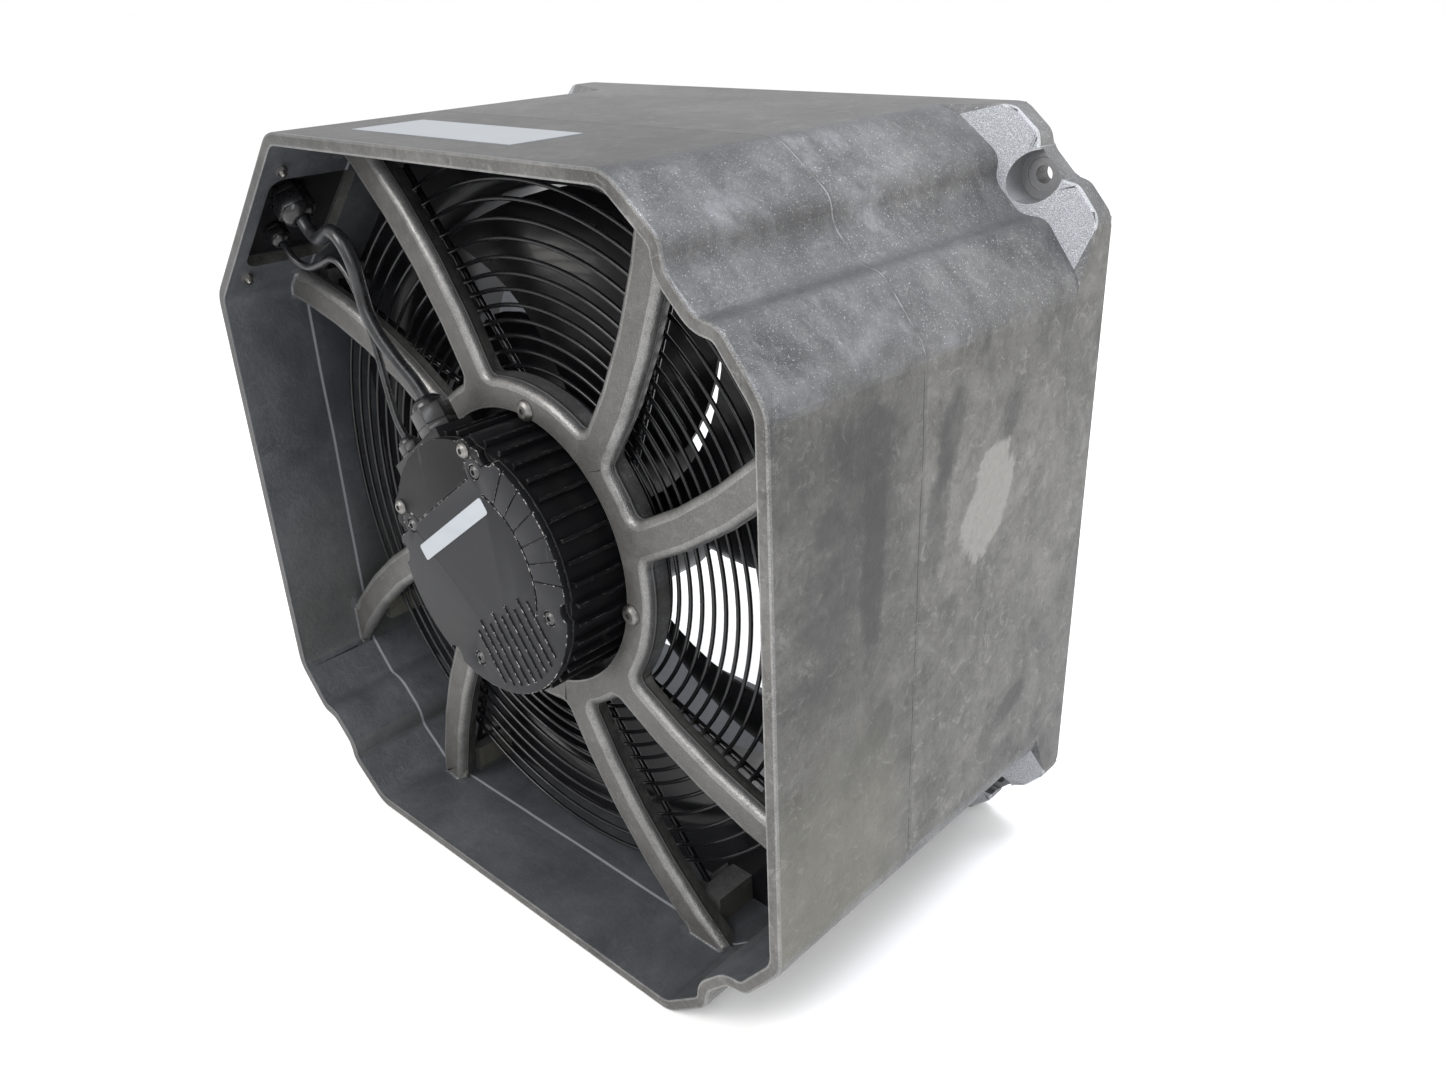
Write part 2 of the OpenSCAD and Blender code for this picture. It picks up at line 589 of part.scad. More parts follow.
module stator_windings() {
  color([0.72, 0.4, 0.16]) for (i = [0:slot_count - 1]) spin((i + 0.5) * 360 / slot_count) difference() {
    slab(core_y0 - 6, core_y1 + 6) polygon([[tube_r + 6.5, -5.4], [core_r - 4.2, -7.2],
      [core_r - 4.2, 7.2], [tube_r + 6.5, 5.4]]);
    translate([tube_r, core_y0 - 0.2, -tooth_half - 0.2]) cube([core_r, core_len + 0.4, 2 * tooth_half + 0.4]);
  }
}
tooth_half = 4.4;
bearing_mid_r = (shaft_d + bearing_d) / 4;
ball_r = bearing_w * 0.25;
inner_race_r = bearing_mid_r - ball_r * 0.5;
outer_race_r = bearing_mid_r + ball_r * 0.5;
bearing_ys = [front_bearing_y, rear_bearing_y];
module bearing_outer_rings() {
  color([0.7, 0.7, 0.72]) for (y = bearing_ys) difference() {
    union() {
      ring(outer_race_r, bearing_d / 2, y, y + bearing_w);
      for (s = [y + 0.4, y + bearing_w - 1.2]) ring(inner_race_r + run_fit, outer_race_r + e, s, s + 0.8);
    }
    rotate([90, 0, 0]) rotate_extrude() translate([bearing_mid_r, -y - bearing_w / 2]) circle(r = ball_r + run_fit);
  }
}
module bearing_inner_rings() {
  color([0.72, 0.72, 0.74]) for (y = bearing_ys) difference() {
    ring(shaft_d / 2 + slip_fit, inner_race_r, y, y + bearing_w);
    rotate([90, 0, 0]) rotate_extrude() translate([bearing_mid_r, -y - bearing_w / 2]) circle(r = ball_r + run_fit);
  }
}
module bearing_balls() {
  color([0.8, 0.8, 0.82]) for (y = bearing_ys) for (i = [0:7]) spin(45 * i)
    translate([bearing_mid_r, y + bearing_w / 2, 0]) sphere(r = ball_r);
}
shaft_front = front_bearing_y - 1;
shaft_back = bell_y1 + 8;
clip_y = tube_end + 0.4;
clip_t = 1.2;
module shaft() {
  color([0.6, 0.6, 0.62]) difference() {
    turned([[0, shaft_front], [shaft_d / 2 - 1, shaft_front], [shaft_d / 2, shaft_front + 1],
      [shaft_d / 2, shaft_back - 1], [shaft_d / 2 - 1, shaft_back], [0, shaft_back]]);
    ring(shaft_d / 2 - 0.8, shaft_d / 2 + 2, clip_y, clip_y + clip_t + 0.1);
  }
}
module shaft_circlip() {
  color([0.3, 0.3, 0.3]) difference() {
    ring(shaft_d / 2 - 0.75, shaft_d / 2 + 2.4, clip_y, clip_y + clip_t);
    translate([0, clip_y - e, -3]) cube([shaft_d, 3 * clip_t, 6]);
  }
}
bell_t = 3.5;
magnet_t = 3;
module rotor_bell() {
  color([0.3, 0.3, 0.32]) difference() {
    union() {
      ring(bell_d / 2 - bell_t, bell_d / 2, bell_y0, bell_y1);
      ring(shaft_d / 2 + slip_fit, bell_d / 2 - 1, bell_y1 - bell_end_t, bell_y1);
      ring(shaft_d / 2 + slip_fit, shaft_d / 2 + 7, bell_y1 - bell_end_t, bell_y1 + 7);
    }
    for (k = [0:5]) drum(impeller_screw_d / 2 + slip_fit, bell_y1 - bell_end_t - e, bell_y1 + e, impeller_screw_at(k));
  }
}
module magnet_ring() {
  color([0.18, 0.18, 0.2]) ring(bell_d / 2 - bell_t - magnet_t, bell_d / 2 - bell_t - slip_fit,
    core_y0 - 4, core_y1 + 4);
}

// ---------- impeller ----------
impeller_screw_d = 4;
function impeller_screw_at(k) = polar(40, 60 * k + 30);
hub_r = impeller_hub_d / 2;
hub_web_t = 4;
hub_hole_r = 22;
tip_r = throat_r - tip_gap;
hub_y0 = flange_back + 6.5;
blade_phase = 28;
blade_n = 10;
blade_m = 9;
blade_y0 = nozzle_front + 6;
function mix(a, b, f) = a + (b - a) * f;
// a point of blade surface: f from root to tip, t from leading to trailing edge, side 1 or -1
function blade_point(f, t, side) = let (
    r = mix(hub_r - 1.8, tip_r, f),
    a = blade_phase + 26 * pow(f, 1.5) - mix(52, 44, f) * t,
    y = blade_y0 + mix(6, 0, f) + mix(50, 76, f) * t - mix(7, 5, f) * sin(180 * t),
    h = mix(6, 3.6, f) * (0.3 + 0.7 * sin(180 * (0.08 + 0.84 * t))))
  [r * cos(a), y + side * h / 2, r * sin(a)];
blade_pts = [for (side = [-1, 1]) for (j = [0:blade_m]) for (i = [0:blade_n])
  blade_point(j / blade_m, i / blade_n, side)];
function bi(s, j, i) = s * (blade_m + 1) * (blade_n + 1) + j * (blade_n + 1) + i;
blade_faces = concat(
  [for (j = [0:blade_m - 1]) for (i = [0:blade_n - 1]) each [
    [bi(0, j, i), bi(0, j + 1, i), bi(0, j, i + 1)], [bi(0, j + 1, i), bi(0, j + 1, i + 1), bi(0, j, i + 1)],
    [bi(1, j, i), bi(1, j, i + 1), bi(1, j + 1, i)], [bi(1, j + 1, i), bi(1, j, i + 1), bi(1, j + 1, i + 1)]]],
  [for (j = [0:blade_m - 1]) each [
    [bi(0, j, 0), bi(1, j, 0), bi(0, j + 1, 0)], [bi(0, j + 1, 0), bi(1, j, 0), bi(1, j + 1, 0)],
    [bi(0, j, blade_n), bi(0, j + 1, blade_n), bi(1, j, blade_n)],
    [bi(0, j + 1, blade_n), bi(1, j + 1, blade_n), bi(1, j, blade_n)]]],
  [for (i = [0:blade_n - 1]) each [
    [bi(0, 0, i), bi(0, 0, i + 1), bi(1, 0, i)], [bi(0, 0, i + 1), bi(1, 0, i + 1), bi(1, 0, i)],
    [bi(0, blade_m, i), bi(1, blade_m, i), bi(0, blade_m, i + 1)],
    [bi(0, blade_m, i + 1), bi(1, blade_m, i), bi(1, blade_m, i + 1)]]]);
module impeller() {
  color([0.04, 0.04, 0.05]) difference() {
    union() {
      ring(bell_d / 2 + slip_fit, hub_r, hub_y0, bell_y1 + hub_web_t);
      ring(hub_hole_r, hub_r - 1, bell_y1, bell_y1 + hub_web_t);
      for (k = [0:blade_count - 1]) spin(360 / blade_count * k) polyhedron(blade_pts, blade_faces);
    }
    for (k = [0:5]) drum(impeller_screw_d / 2 + screw_clear, bell_y1 - e, bell_y1 + hub_web_t + e,
      impeller_screw_at(k));
  }
}
module impeller_screws() {
  color([0.6, 0.6, 0.6]) for (k = [0:5])
    button_screw(impeller_screw_at(k), bell_y1 + hub_web_t, impeller_screw_d, hub_web_t + 3.8, 7.6, 2.2, -1);
}

// ---------- cable entry ----------
module entry_plate() {
  color([0.06, 0.06, 0.07]) at_corner() difference() {
    window_block(plate_half, plate_y0, plate_y1, 8, plate_d0, plate_d1);
    for (s = [-1, 1]) for (y = entry_screw_ys) translate([plate_d0 - e, y, s * entry_screw_s])
      rotate([0, 90, 0]) cylinder(r = entry_screw_r + screw_clear, h = 10);
    translate([plate_d0 - e, gland_y, -gland_offset]) rotate([0, 90, 0])
      cylinder(r = power_thread_r + screw_clear, h = 10);
    translate([plate_d0 - e, gland_y, gland_offset]) rotate([0, 90, 0])
      cylinder(r = signal_thread_r + screw_clear, h = 10);
  }
}
module entry_gasket() {
  color([0.12, 0.12, 0.12]) at_corner() difference() {
    window_block(plate_half - 1, plate_y0 + 1, plate_y1 - 1, 7, corner_d, plate_d0);
    window_block(window_half - 1, window_y0 + 1, window_y1 - 1, 9, corner_d - e, plate_d0 + e);
    for (s = [-1, 1]) for (y = entry_screw_ys) translate([corner_d - e, y, s * entry_screw_s])
      rotate([0, 90, 0]) cylinder(r = entry_screw_r + screw_clear, h = 10);
  }
}
nut_t = 3.2;
module entry_screws() {
  color([0.72, 0.72, 0.7]) at_corner() for (s = [-1, 1]) for (y = entry_screw_ys) {
    translate([plate_d1, y, s * entry_screw_s]) rotate([0, 90, 0]) cylinder(r = 3.8, h = 2.4);
    translate([corner_d - wall - nut_t - 3, y, s * entry_screw_s]) rotate([0, 90, 0])
      cylinder(r = entry_screw_r, h = plate_d1 + wall + nut_t + 3 - corner_d + e);
  }
}
module entry_nuts() {
  color([0.75, 0.75, 0.73]) at_corner() for (s = [-1, 1]) for (y = entry_screw_ys)
    translate([corner_d - wall - nut_t, y, s * entry_screw_s]) rotate([0, 90, 0]) difference() {
      cylinder(r = 4.04, h = nut_t, $fn = 6);
      translate([0, 0, -e]) cylinder(r = entry_screw_r + slip_fit, h = nut_t + 2 * e);
    }
}

// ---------- glands: each is drawn along +Z with its seat at z = 0 ----------
power_thread_r = 10;
signal_thread_r = 6;
power_nut_r = 13.8;
signal_nut_r = 8;
function gland_nut_len(rn) = rn * 1.35;
function gland_body_h(rn) = rn * 0.4;
module gland_body(rt, rn, rc, tail) {
  difference() {
    union() {
      cylinder(r = rn, h = gland_body_h(rn), $fn = 6);
      translate([0, 0, -tail]) cylinder(r = rt, h = tail + gland_body_h(rn));
      cylinder(r = rt * 0.95, h = gland_body_h(rn) + gland_nut_len(rn) * 0.5);
    }
    translate([0, 0, -tail - e]) cylinder(r = rc + 0.3, h = tail + 4 * rn);
  }
}
module gland_nut(rt, rn, rc) {
  z0 = gland_body_h(rn) + 0.1;
  l = gland_nut_len(rn);
  difference() {
    union() {
      translate([0, 0, z0]) cylinder(r = rn, h = l * 0.62, $fn = 6);
      translate([0, 0, z0 + l * 0.6]) rotate_extrude() polygon([[0, 0], [rn * 0.86, 0], [rn * 0.84, l * 0.12],
        [rn * 0.74, l * 0.26], [rn * 0.56, l * 0.37], [rn * 0.5, l * 0.4], [0, l * 0.4]]);
    }
    translate([0, 0, z0 - e]) cylinder(r = rt * 0.95 + slip_fit, h = l * 0.52 + e);
    translate([0, 0, z0]) cylinder(r = rc + 0.3, h = 2 * l);
    translate([0, 0, z0 + l * 0.52 - e]) cylinder(r = rt * 0.8, h = l * 0.2 + e);
  }
}
module gland_seal(rt, rn, rc) {
  z0 = gland_body_h(rn) + 0.1;
  l = gland_nut_len(rn);
  translate([0, 0, z0 + l * 0.53]) difference() {
    cylinder(r = rt * 0.8 - slip_fit, h = l * 0.18);
    translate([0, 0, -e]) cylinder(r = rc + slip_fit, h = l);
  }
}
module gland_locknut(rt, rn, z) {
  translate([0, 0, z]) difference() {
    cylinder(r = rn, h = rn * 0.35, $fn = 6);
    translate([0, 0, -e]) cylinder(r = rt + slip_fit, h = rn);
  }
}
// places: on the motor's entry block, and on the corner plate pointing inwards
module on_motor(u) {
  spin(motor_turn) translate([u, motor_gland_y, block_v]) children();
}
module on_plate(s) {
  at_corner() translate([plate_d0, gland_y, s]) rotate([0, -90, 0]) children();
}
motor_tail = 14;
plate_tail = entry_plate_t + 8;
module power_gland_bodies() {
  color([0.06, 0.06, 0.06]) {
    on_motor(power_gland_u) gland_body(power_thread_r, power_nut_r, power_lead_d / 2, motor_tail);
    on_plate(-gland_offset) gland_body(power_thread_r, power_nut_r, power_lead_d / 2, plate_tail);
  }
}
module power_gland_nuts() {
  color([0.07, 0.07, 0.07]) {
    on_motor(power_gland_u) gland_nut(power_thread_r, power_nut_r, power_lead_d / 2);
    on_plate(-gland_offset) gland_nut(power_thread_r, power_nut_r, power_lead_d / 2);
  }
}
module power_gland_seals() {
  color([0.1, 0.1, 0.1]) {
    on_motor(power_gland_u) gland_seal(power_thread_r, power_nut_r, power_lead_d / 2);
    on_plate(-gland_offset) gland_seal(power_thread_r, power_nut_r, power_lead_d / 2);
  }
}
module power_gland_locknut() {
  color([0.06, 0.06, 0.06]) on_plate(-gland_offset)
    gland_locknut(power_thread_r, power_nut_r, -entry_plate_t - power_nut_r * 0.35);
}
module signal_gland_bodies() {
  color([0.06, 0.06, 0.06]) {
    on_motor(signal_gland_u) gland_body(signal_thread_r, signal_nut_r, signal_lead_d / 2, motor_tail);
    on_plate(gland_offset) gland_body(signal_thread_r, signal_nut_r, signal_lead_d / 2, plate_tail);
  }
}
module signal_gland_nuts() {
  color([0.07, 0.07, 0.07]) {
    on_motor(signal_gland_u) gland_nut(signal_thread_r, signal_nut_r, signal_lead_d / 2);
    on_plate(gland_offset) gland_nut(signal_thread_r, signal_nut_r, signal_lead_d / 2);
  }
}
module signal_gland_seals() {
  color([0.1, 0.1, 0.1]) {
    on_motor(signal_gland_u) gland_seal(signal_thread_r, signal_nut_r, signal_lead_d / 2);
    on_plate(gland_offset) gland_seal(signal_thread_r, signal_nut_r, signal_lead_d / 2);
  }
}
module signal_gland_locknut() {
  color([0.06, 0.06, 0.06]) on_plate(gland_offset)
    gland_locknut(signal_thread_r, signal_nut_r, -entry_plate_t - signal_nut_r * 0.35);
}

// ---------- leads ----------
power_route = [[-200, -289.5, 227], [-188, -289.5, 215], [-176, -289.5, 203], [-166, -290, 195],
  [-154, -292, 193], [-140, -295, 198], [-127, -298, 202], [-114, -299, 198], [-106, -298, 184],
  [-104, -297, 168], [-100, -297, 152], [-90, -296, 136], [-78, -293, 121], [-67.5, -290, 109],
  [-59, -289.2, 98.2], [-50, -289.2, 85.8], [-41, -289.2, 73.5]];
signal_route = [[-227, -289.5, 200], [-218, -289.5, 191], [-209, -289.5, 182], [-199, -289, 173.5],
  [-186, -287, 169], [-171, -285.5, 173], [-157, -284.5, 178], [-144, -284, 174], [-132, -284, 159],
  [-123, -284, 137], [-115, -285, 113], [-106, -287.5, 91.5], [-98, -289.2, 75.5], [-90.5, -289.2, 65],
  [-80, -289.2, 50.5], [-75, -289.2, 43.7]];
function spline(P, n) = [for (i = [1:len(P) - 3]) for (k = [0:n - 1]) let (t = k / n,
    a = P[i - 1], b = P[i], c = P[i + 1], d = P[i + 2])
  0.5 * (2 * b + (c - a) * t + (2 * a - 5 * b + 4 * c - d) * t * t + (3 * b - a - 3 * c + d) * t * t * t)];
module lead(route, r, sides, n) {
  P = concat(spline(route, n), [route[len(route) - 2]]);
  m = len(P);
  pts = [for (i = [0:m - 1]) let (
      t = unit(P[min(i + 1, m - 1)] - P[max(i - 1, 0)]),
      u = unit(cross(t, [0, 1, 0])), v = cross(t, u))
    for (k = [0:sides - 1]) P[i] + r * (u * cos(k * 360 / sides) + v * sin(k * 360 / sides))];
  faces = concat([[for (k = [0:sides - 1]) k]],
    [for (i = [0:m - 2]) for (k = [0:sides - 1]) let (l = (k + 1) % sides) each [
      [i * sides + k, (i + 1) * sides + k, i * sides + l],
      [i * sides + l, (i + 1) * sides + k, (i + 1) * sides + l]]],
    [[for (k = [sides - 1:-1:0]) (m - 1) * sides + k]]);
  polyhedron(pts, faces);
}
module power_lead() {
  color([0.08, 0.08, 0.09]) lead(power_route, power_lead_d / 2, 12, 4);
}
module signal_lead() {
  color([0.08, 0.08, 0.09]) lead(signal_route, signal_lead_d / 2, 10, 4);
}

// ---------- blank plates ----------
label_t = 0.4;
label_u0 = -54;
label_u1 = 44;
label_v1 = seam_v - 14;
label_v0 = label_v1 - 11.5;
module motor_label() {
  color([0.8, 0.82, 0.85]) spin(motor_turn) slab(motor_front - label_t, motor_front)
    polygon(rounded([[label_u0, label_v0], [label_u1, label_v0], [label_u1, label_v1],
      [label_u0, label_v1]], [2, 2, 2, 2]));
}
plate_x0 = -97;
plate_size = [156, 52];
plate_setback = 32;
module rating_plate() {
  color([0.75, 0.75, 0.74]) translate([plate_x0, front + plate_setback, half])
    cube([plate_size[0], plate_size[1], label_t]);
}

housing();
finger_guard();
hub_screws();
inlet_nozzle();
nozzle_screws();
motor_housing();
motor_cover();
cover_gasket();
cover_screws();
terminal_lid();
lid_gasket();
lid_screws();
circuit_board();
board_screws();
terminal_block();
stator_core();
stator_windings();
bearing_outer_rings();
bearing_inner_rings();
bearing_balls();
shaft();
shaft_circlip();
rotor_bell();
magnet_ring();
impeller();
impeller_screws();
entry_plate();
entry_gasket();
entry_screws();
entry_nuts();
power_gland_bodies();
power_gland_nuts();
power_gland_seals();
power_gland_locknut();
signal_gland_bodies();
signal_gland_nuts();
signal_gland_seals();
signal_gland_locknut();
power_lead();
signal_lead();
motor_label();
rating_plate();
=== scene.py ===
from math import cos, pi, radians, sin
import bmesh
import bpy
from mathutils import Euler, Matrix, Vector


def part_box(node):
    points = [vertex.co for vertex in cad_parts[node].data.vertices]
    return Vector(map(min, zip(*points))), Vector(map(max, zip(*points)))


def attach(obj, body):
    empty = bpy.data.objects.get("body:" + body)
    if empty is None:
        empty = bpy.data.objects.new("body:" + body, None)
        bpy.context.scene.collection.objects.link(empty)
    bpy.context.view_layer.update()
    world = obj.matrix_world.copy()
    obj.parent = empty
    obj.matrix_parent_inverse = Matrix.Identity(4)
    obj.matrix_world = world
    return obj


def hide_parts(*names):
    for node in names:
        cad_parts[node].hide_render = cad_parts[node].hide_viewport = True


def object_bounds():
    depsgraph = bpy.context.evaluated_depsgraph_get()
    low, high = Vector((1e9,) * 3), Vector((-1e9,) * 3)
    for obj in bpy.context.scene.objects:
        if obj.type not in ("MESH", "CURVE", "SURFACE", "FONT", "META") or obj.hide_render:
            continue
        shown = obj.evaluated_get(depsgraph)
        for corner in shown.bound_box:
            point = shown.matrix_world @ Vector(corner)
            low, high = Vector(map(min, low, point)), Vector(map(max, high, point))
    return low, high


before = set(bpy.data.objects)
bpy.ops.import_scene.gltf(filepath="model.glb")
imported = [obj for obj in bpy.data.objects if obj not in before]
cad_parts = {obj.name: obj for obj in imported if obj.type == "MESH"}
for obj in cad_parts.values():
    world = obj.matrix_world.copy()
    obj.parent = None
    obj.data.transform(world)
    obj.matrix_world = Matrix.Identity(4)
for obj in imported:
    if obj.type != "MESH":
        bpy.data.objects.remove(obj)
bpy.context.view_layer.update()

# ---------- studio ----------
# A pale seamless floor under the fan, soft lights from the upper left, from above and from behind,
# a strip for the long highlights on the wires, and a camera that looks at the open front from the
# right.
view = bpy.data.cameras.new("camera")
view.lens = 29.6
view.sensor_width = 36
camera = bpy.data.objects.new("camera", view)
bpy.context.collection.objects.link(camera)
camera.location = (0.5935, -0.6938, 0.3456)
camera.rotation_euler = Euler((radians(64.21), radians(2.21), radians(42.80)))
bpy.context.scene.camera = camera
bpy.context.scene.view_settings.view_transform = "Standard"

floor_gap = 0.0005
bpy.ops.object.select_all(action="DESELECT")
bpy.ops.mesh.primitive_plane_add(size=80, location=(0, 0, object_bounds()[0][2] - floor_gap))
floor = bpy.context.object
floor.name = "floor"
bpy.ops.object.transform_apply(location=True)
floor_paint = bpy.data.materials.new("floor_white")
floor_paint.use_nodes = True
floor_shader = floor_paint.node_tree.nodes["Principled BSDF"]
floor_shader.inputs["Base Color"].default_value = (1, 1, 1, 1)
floor_shader.inputs["Roughness"].default_value = 0.9
floor.data.materials.append(floor_paint)


def area_light(name, place, aim, size, power, colour, tall=None):
    """A square soft light, or a strip where tall is given, that points from place to aim."""
    lamp = bpy.data.lights.new(name, "AREA")
    lamp.energy = power
    lamp.color = colour
    lamp.size = size
    if tall:
        lamp.shape = "RECTANGLE"
        lamp.size_y = tall
    holder = bpy.data.objects.new(name, lamp)
    bpy.context.collection.objects.link(holder)
    holder.location = place
    holder.rotation_euler = (Vector(aim) - Vector(place)).to_track_quat("-Z", "Y").to_euler()


area_light("key", place=(-0.7, -2.5, 1.7), aim=(0, -0.2, 0),
    size=1.4, power=55, colour=(1, 0.98, 0.95))
area_light("top", place=(0.9, 0.5, 2.2), aim=(0.1, -0.1, 0.1),
    size=0.8, power=32, colour=(0.88, 0.92, 1))
area_light("rear", place=(1.6, 1.9, 0.9), aim=(0, 0, 0),
    size=1.2, power=14, colour=(1, 0.99, 0.96))
area_light("strip", place=(1.3, -1.9, 1.5), aim=(0, -0.2, 0),
    size=0.2, tall=1.8, power=16, colour=(0.95, 0.97, 1))
world = bpy.data.worlds.new("studio")
bpy.context.scene.world = world
world.use_nodes = True
backdrop = world.node_tree.nodes["Background"]
backdrop.inputs["Color"].default_value = (1, 1, 1, 1)
backdrop.inputs["Strength"].default_value = 1.0

# ---------- housing ----------
# One large aluminium die casting: square walls, notched corners, eight swept spokes and the ring
# that holds the motor. It is left as cast, blasted on the ears, and stained by release agent and
# handling. The mould gives it rounded edges, sloping flanks and small fillets at the spokes' roots.


class Wire:
    """One value in a material. Sums, products and comparisons of wires add Math nodes."""

    def __init__(self, socket):
        self.socket = socket

    def calc(self, operation, *others):
        terms = dict(enumerate((self,) + others))
        return add(self.socket.id_data, "Math", {"operation": operation}, terms)

    def __add__(self, other):
        return self.calc("ADD", other)

    __radd__ = __add__

    def __mul__(self, other):
        return self.calc("MULTIPLY", other)

    __rmul__ = __mul__

    def __sub__(self, other):
        return self.calc("SUBTRACT", other)

    def __rsub__(self, other):
        return (self * -1) + other

    def __gt__(self, other):
        return self.calc("GREATER_THAN", other)

    def __lt__(self, other):
        return self.calc("LESS_THAN", other)

    def span(self, low, high):
        """0 below low, 1 above high and a straight ramp between them."""
        ends = {"Value": self, 1: low, 2: high}
        return add(self.socket.id_data, "MapRange", {"clamp": True}, ends)


def add(tree, kind, settings, sockets, out=0):
    """A shader node: its settings are set first, then the values or links of its sockets."""
    node = tree.nodes.new("ShaderNode" + kind)
    for key, value in settings.items():
        setattr(node, key, value)
    for key, value in sockets.items():
        feed(tree, node.inputs[key], value)
    return Wire(node.outputs[out])


def feed(tree, socket, value):
    """Links a wire to a socket, or sets the socket to a number, a vector or a colour."""
    if isinstance(value, Wire):
        tree.links.new(value.socket, socket)
    elif socket.type == "RGBA":
        socket.default_value = (*value, 1)
    else:
        socket.default_value = value


class Finish:
    """A material whose Principled shader takes plain values, and wires where they vary."""

    def __init__(self, name, **sockets):
        self.material = bpy.data.materials.new(name)
        self.material.use_nodes = True
        self.tree = self.material.node_tree
        self.shader = self.tree.nodes["Principled BSDF"]
        self.place = self.node("TexCoord", {}, {}, "Object")
        self.set(**sockets)

    def node(self, kind, settings, sockets, out=0):
        return add(self.tree, kind, settings, sockets, out)

    def set(self, **sockets):
        for key, value in sockets.items():
            feed(self.tree, self.shader.inputs[key.replace("_", " ")], value)

    def noise(self, scale, detail=3, rough=0.5, warp=0, place=None):
        """Cloudy noise, of about scale clouds to the metre."""
        return self.node("TexNoise", {}, {"Vector": place or self.place, "Scale": scale,
            "Detail": detail, "Roughness": rough, "Distortion": warp})

    def mix(self, mask, low, high):
        """The colour low where the mask is 0 and high where it is 1."""
        return self.node("Mix", {"data_type": "RGBA"}, {0: mask, 6: low, 7: high}, 2)

    def part_of(self, name):
        """1 on the faces that are marked with this name."""
        return self.node("Attribute", {"attribute_name": name}, {}, "Fac")

    def axes(self, wire):
        split = self.node("SeparateXYZ", {}, {0: wire})
        return [Wire(output) for output in split.socket.node.outputs]

    def facing(self):
        """The way that the surface faces."""
        return self.node("NewGeometry", {}, {}, "True Normal")

    def stretched(self, scale, turn=(0, 0, 0)):
        """The place, drawn out where scale is below 1 and turned in radians."""
        return self.node("Mapping", {}, {"Vector": self.place, "Scale": scale, "Rotation": turn})

    def relief(self, height, depth, strength):
        sockets = {"Height": height, "Distance": depth, "Strength": strength}
        self.set(Normal=self.node("Bump", {}, sockets, "Normal"))


def work_copy(node, name, flat=0.3):
    """A copy of a CAD node with its triangles merged where they lie flat, left in edit mode."""
    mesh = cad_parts[node].data.copy()
    mesh.materials.clear()
    # the second of two empty slots is for the faces that a bevel adds
    mesh.materials.append(None)
    mesh.materials.append(None)
    piece = bpy.data.objects.new(name, mesh)
    bpy.context.collection.objects.link(piece)
    bpy.ops.object.select_all(action="DESELECT")
    bpy.context.view_layer.objects.active = piece
    piece.select_set(True)
    bpy.ops.object.mode_set(mode="EDIT")
    bpy.ops.mesh.select_all(action="SELECT")
    bpy.ops.mesh.remove_doubles(threshold=0.00002)
    bpy.ops.mesh.customdata_custom_splitnormals_clear()
    bpy.ops.mesh.dissolve_limited(angle_limit=radians(flat))
    bpy.ops.mesh.select_all(action="SELECT")
    bpy.ops.mesh.quads_convert_to_tris(quad_method="BEAUTY", ngon_method="BEAUTY")
    bpy.ops.mesh.select_all(action="DESELECT")
    return piece


sharp = radians(25)


def select_edges(piece, wanted):
    """Selects the sharp edges that pass a test of their middle, two normals and convexity."""
    work = bmesh.from_edit_mesh(piece.data)
    work.normal_update()
    for edge in work.edges:
        edge.select_set(False)
    for edge in work.edges:
        if len(edge.link_faces) == 2 and edge.calc_face_angle() > sharp:
            middle = (edge.verts[0].co + edge.verts[1].co) / 2
            if wanted(middle, [face.normal for face in edge.link_faces], edge.is_convex):
                edge.select_set(True)
    bmesh.update_edit_mesh(piece.data)


def mark_faces(piece, name, wanted):
    """Gives the faces that pass the test the value 1 of an attribute that the material reads."""
    bpy.ops.object.mode_set(mode="OBJECT")
    chosen = [face.index for face in piece.data.polygons if wanted(face)]
    layer = piece.data.attributes.get(name) or piece.data.attributes.new(name, "FLOAT", "FACE")
    for index in chosen:
        layer.data[index].value = 1
    # the layer is filled first, because setting a material index can drop it from memory
    for index in chosen:
        piece.data.polygons[index].material_index = 0
    bpy.ops.object.mode_set(mode="EDIT")


def round_edges(piece, wanted, width, segments=2, mark="wear_and_edge_highlight", profile=0.5):
    """Rounds the edges that pass the test, and marks the new faces, which alone have index 1."""
    select_edges(piece, wanted)
    bpy.ops.mesh.bevel(offset=width, segments=segments, profile=profile, material=1)
    mark_faces(piece, mark, lambda face: face.material_index == 1)


def finish_piece(piece, body, material, slot, *nodes, smooth=35):
    """Ends the editing of a piece: shading, material, body and the nodes it stands for; slot is not
    used.
    """
    bpy.ops.object.mode_set(mode="OBJECT")
    bpy.ops.object.shade_smooth_by_angle(angle=radians(smooth))
    piece.data.materials.clear()
    piece.data.materials.append(material)
    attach(piece, body)
    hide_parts(*nodes)


casting = work_copy("housing", "casting")
rim_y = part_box("housing")[0][1]
# along Y: the front of the spokes and the ring, the step to each spoke's rib, the rib's back,
# and where an ear's edges, its blasted faces and its flange start
web_front = rim_y + 0.054
web_step = web_front + 0.007
web_back = web_front + 0.019
ear_front, pad_front, flange_front = -0.12, -0.1, -0.012
# across: the radii that part the edges of the web, and the ears' places in x and z
bore_reach = 0.0975
ring_middle = 0.107
root_reach = 0.22
ear_reach = 0.19
ear_hole = Vector((0.225, 0.225))
pocket_radius = 0.0165
# how near a plane an edge lies to be on it
flush = 0.0002


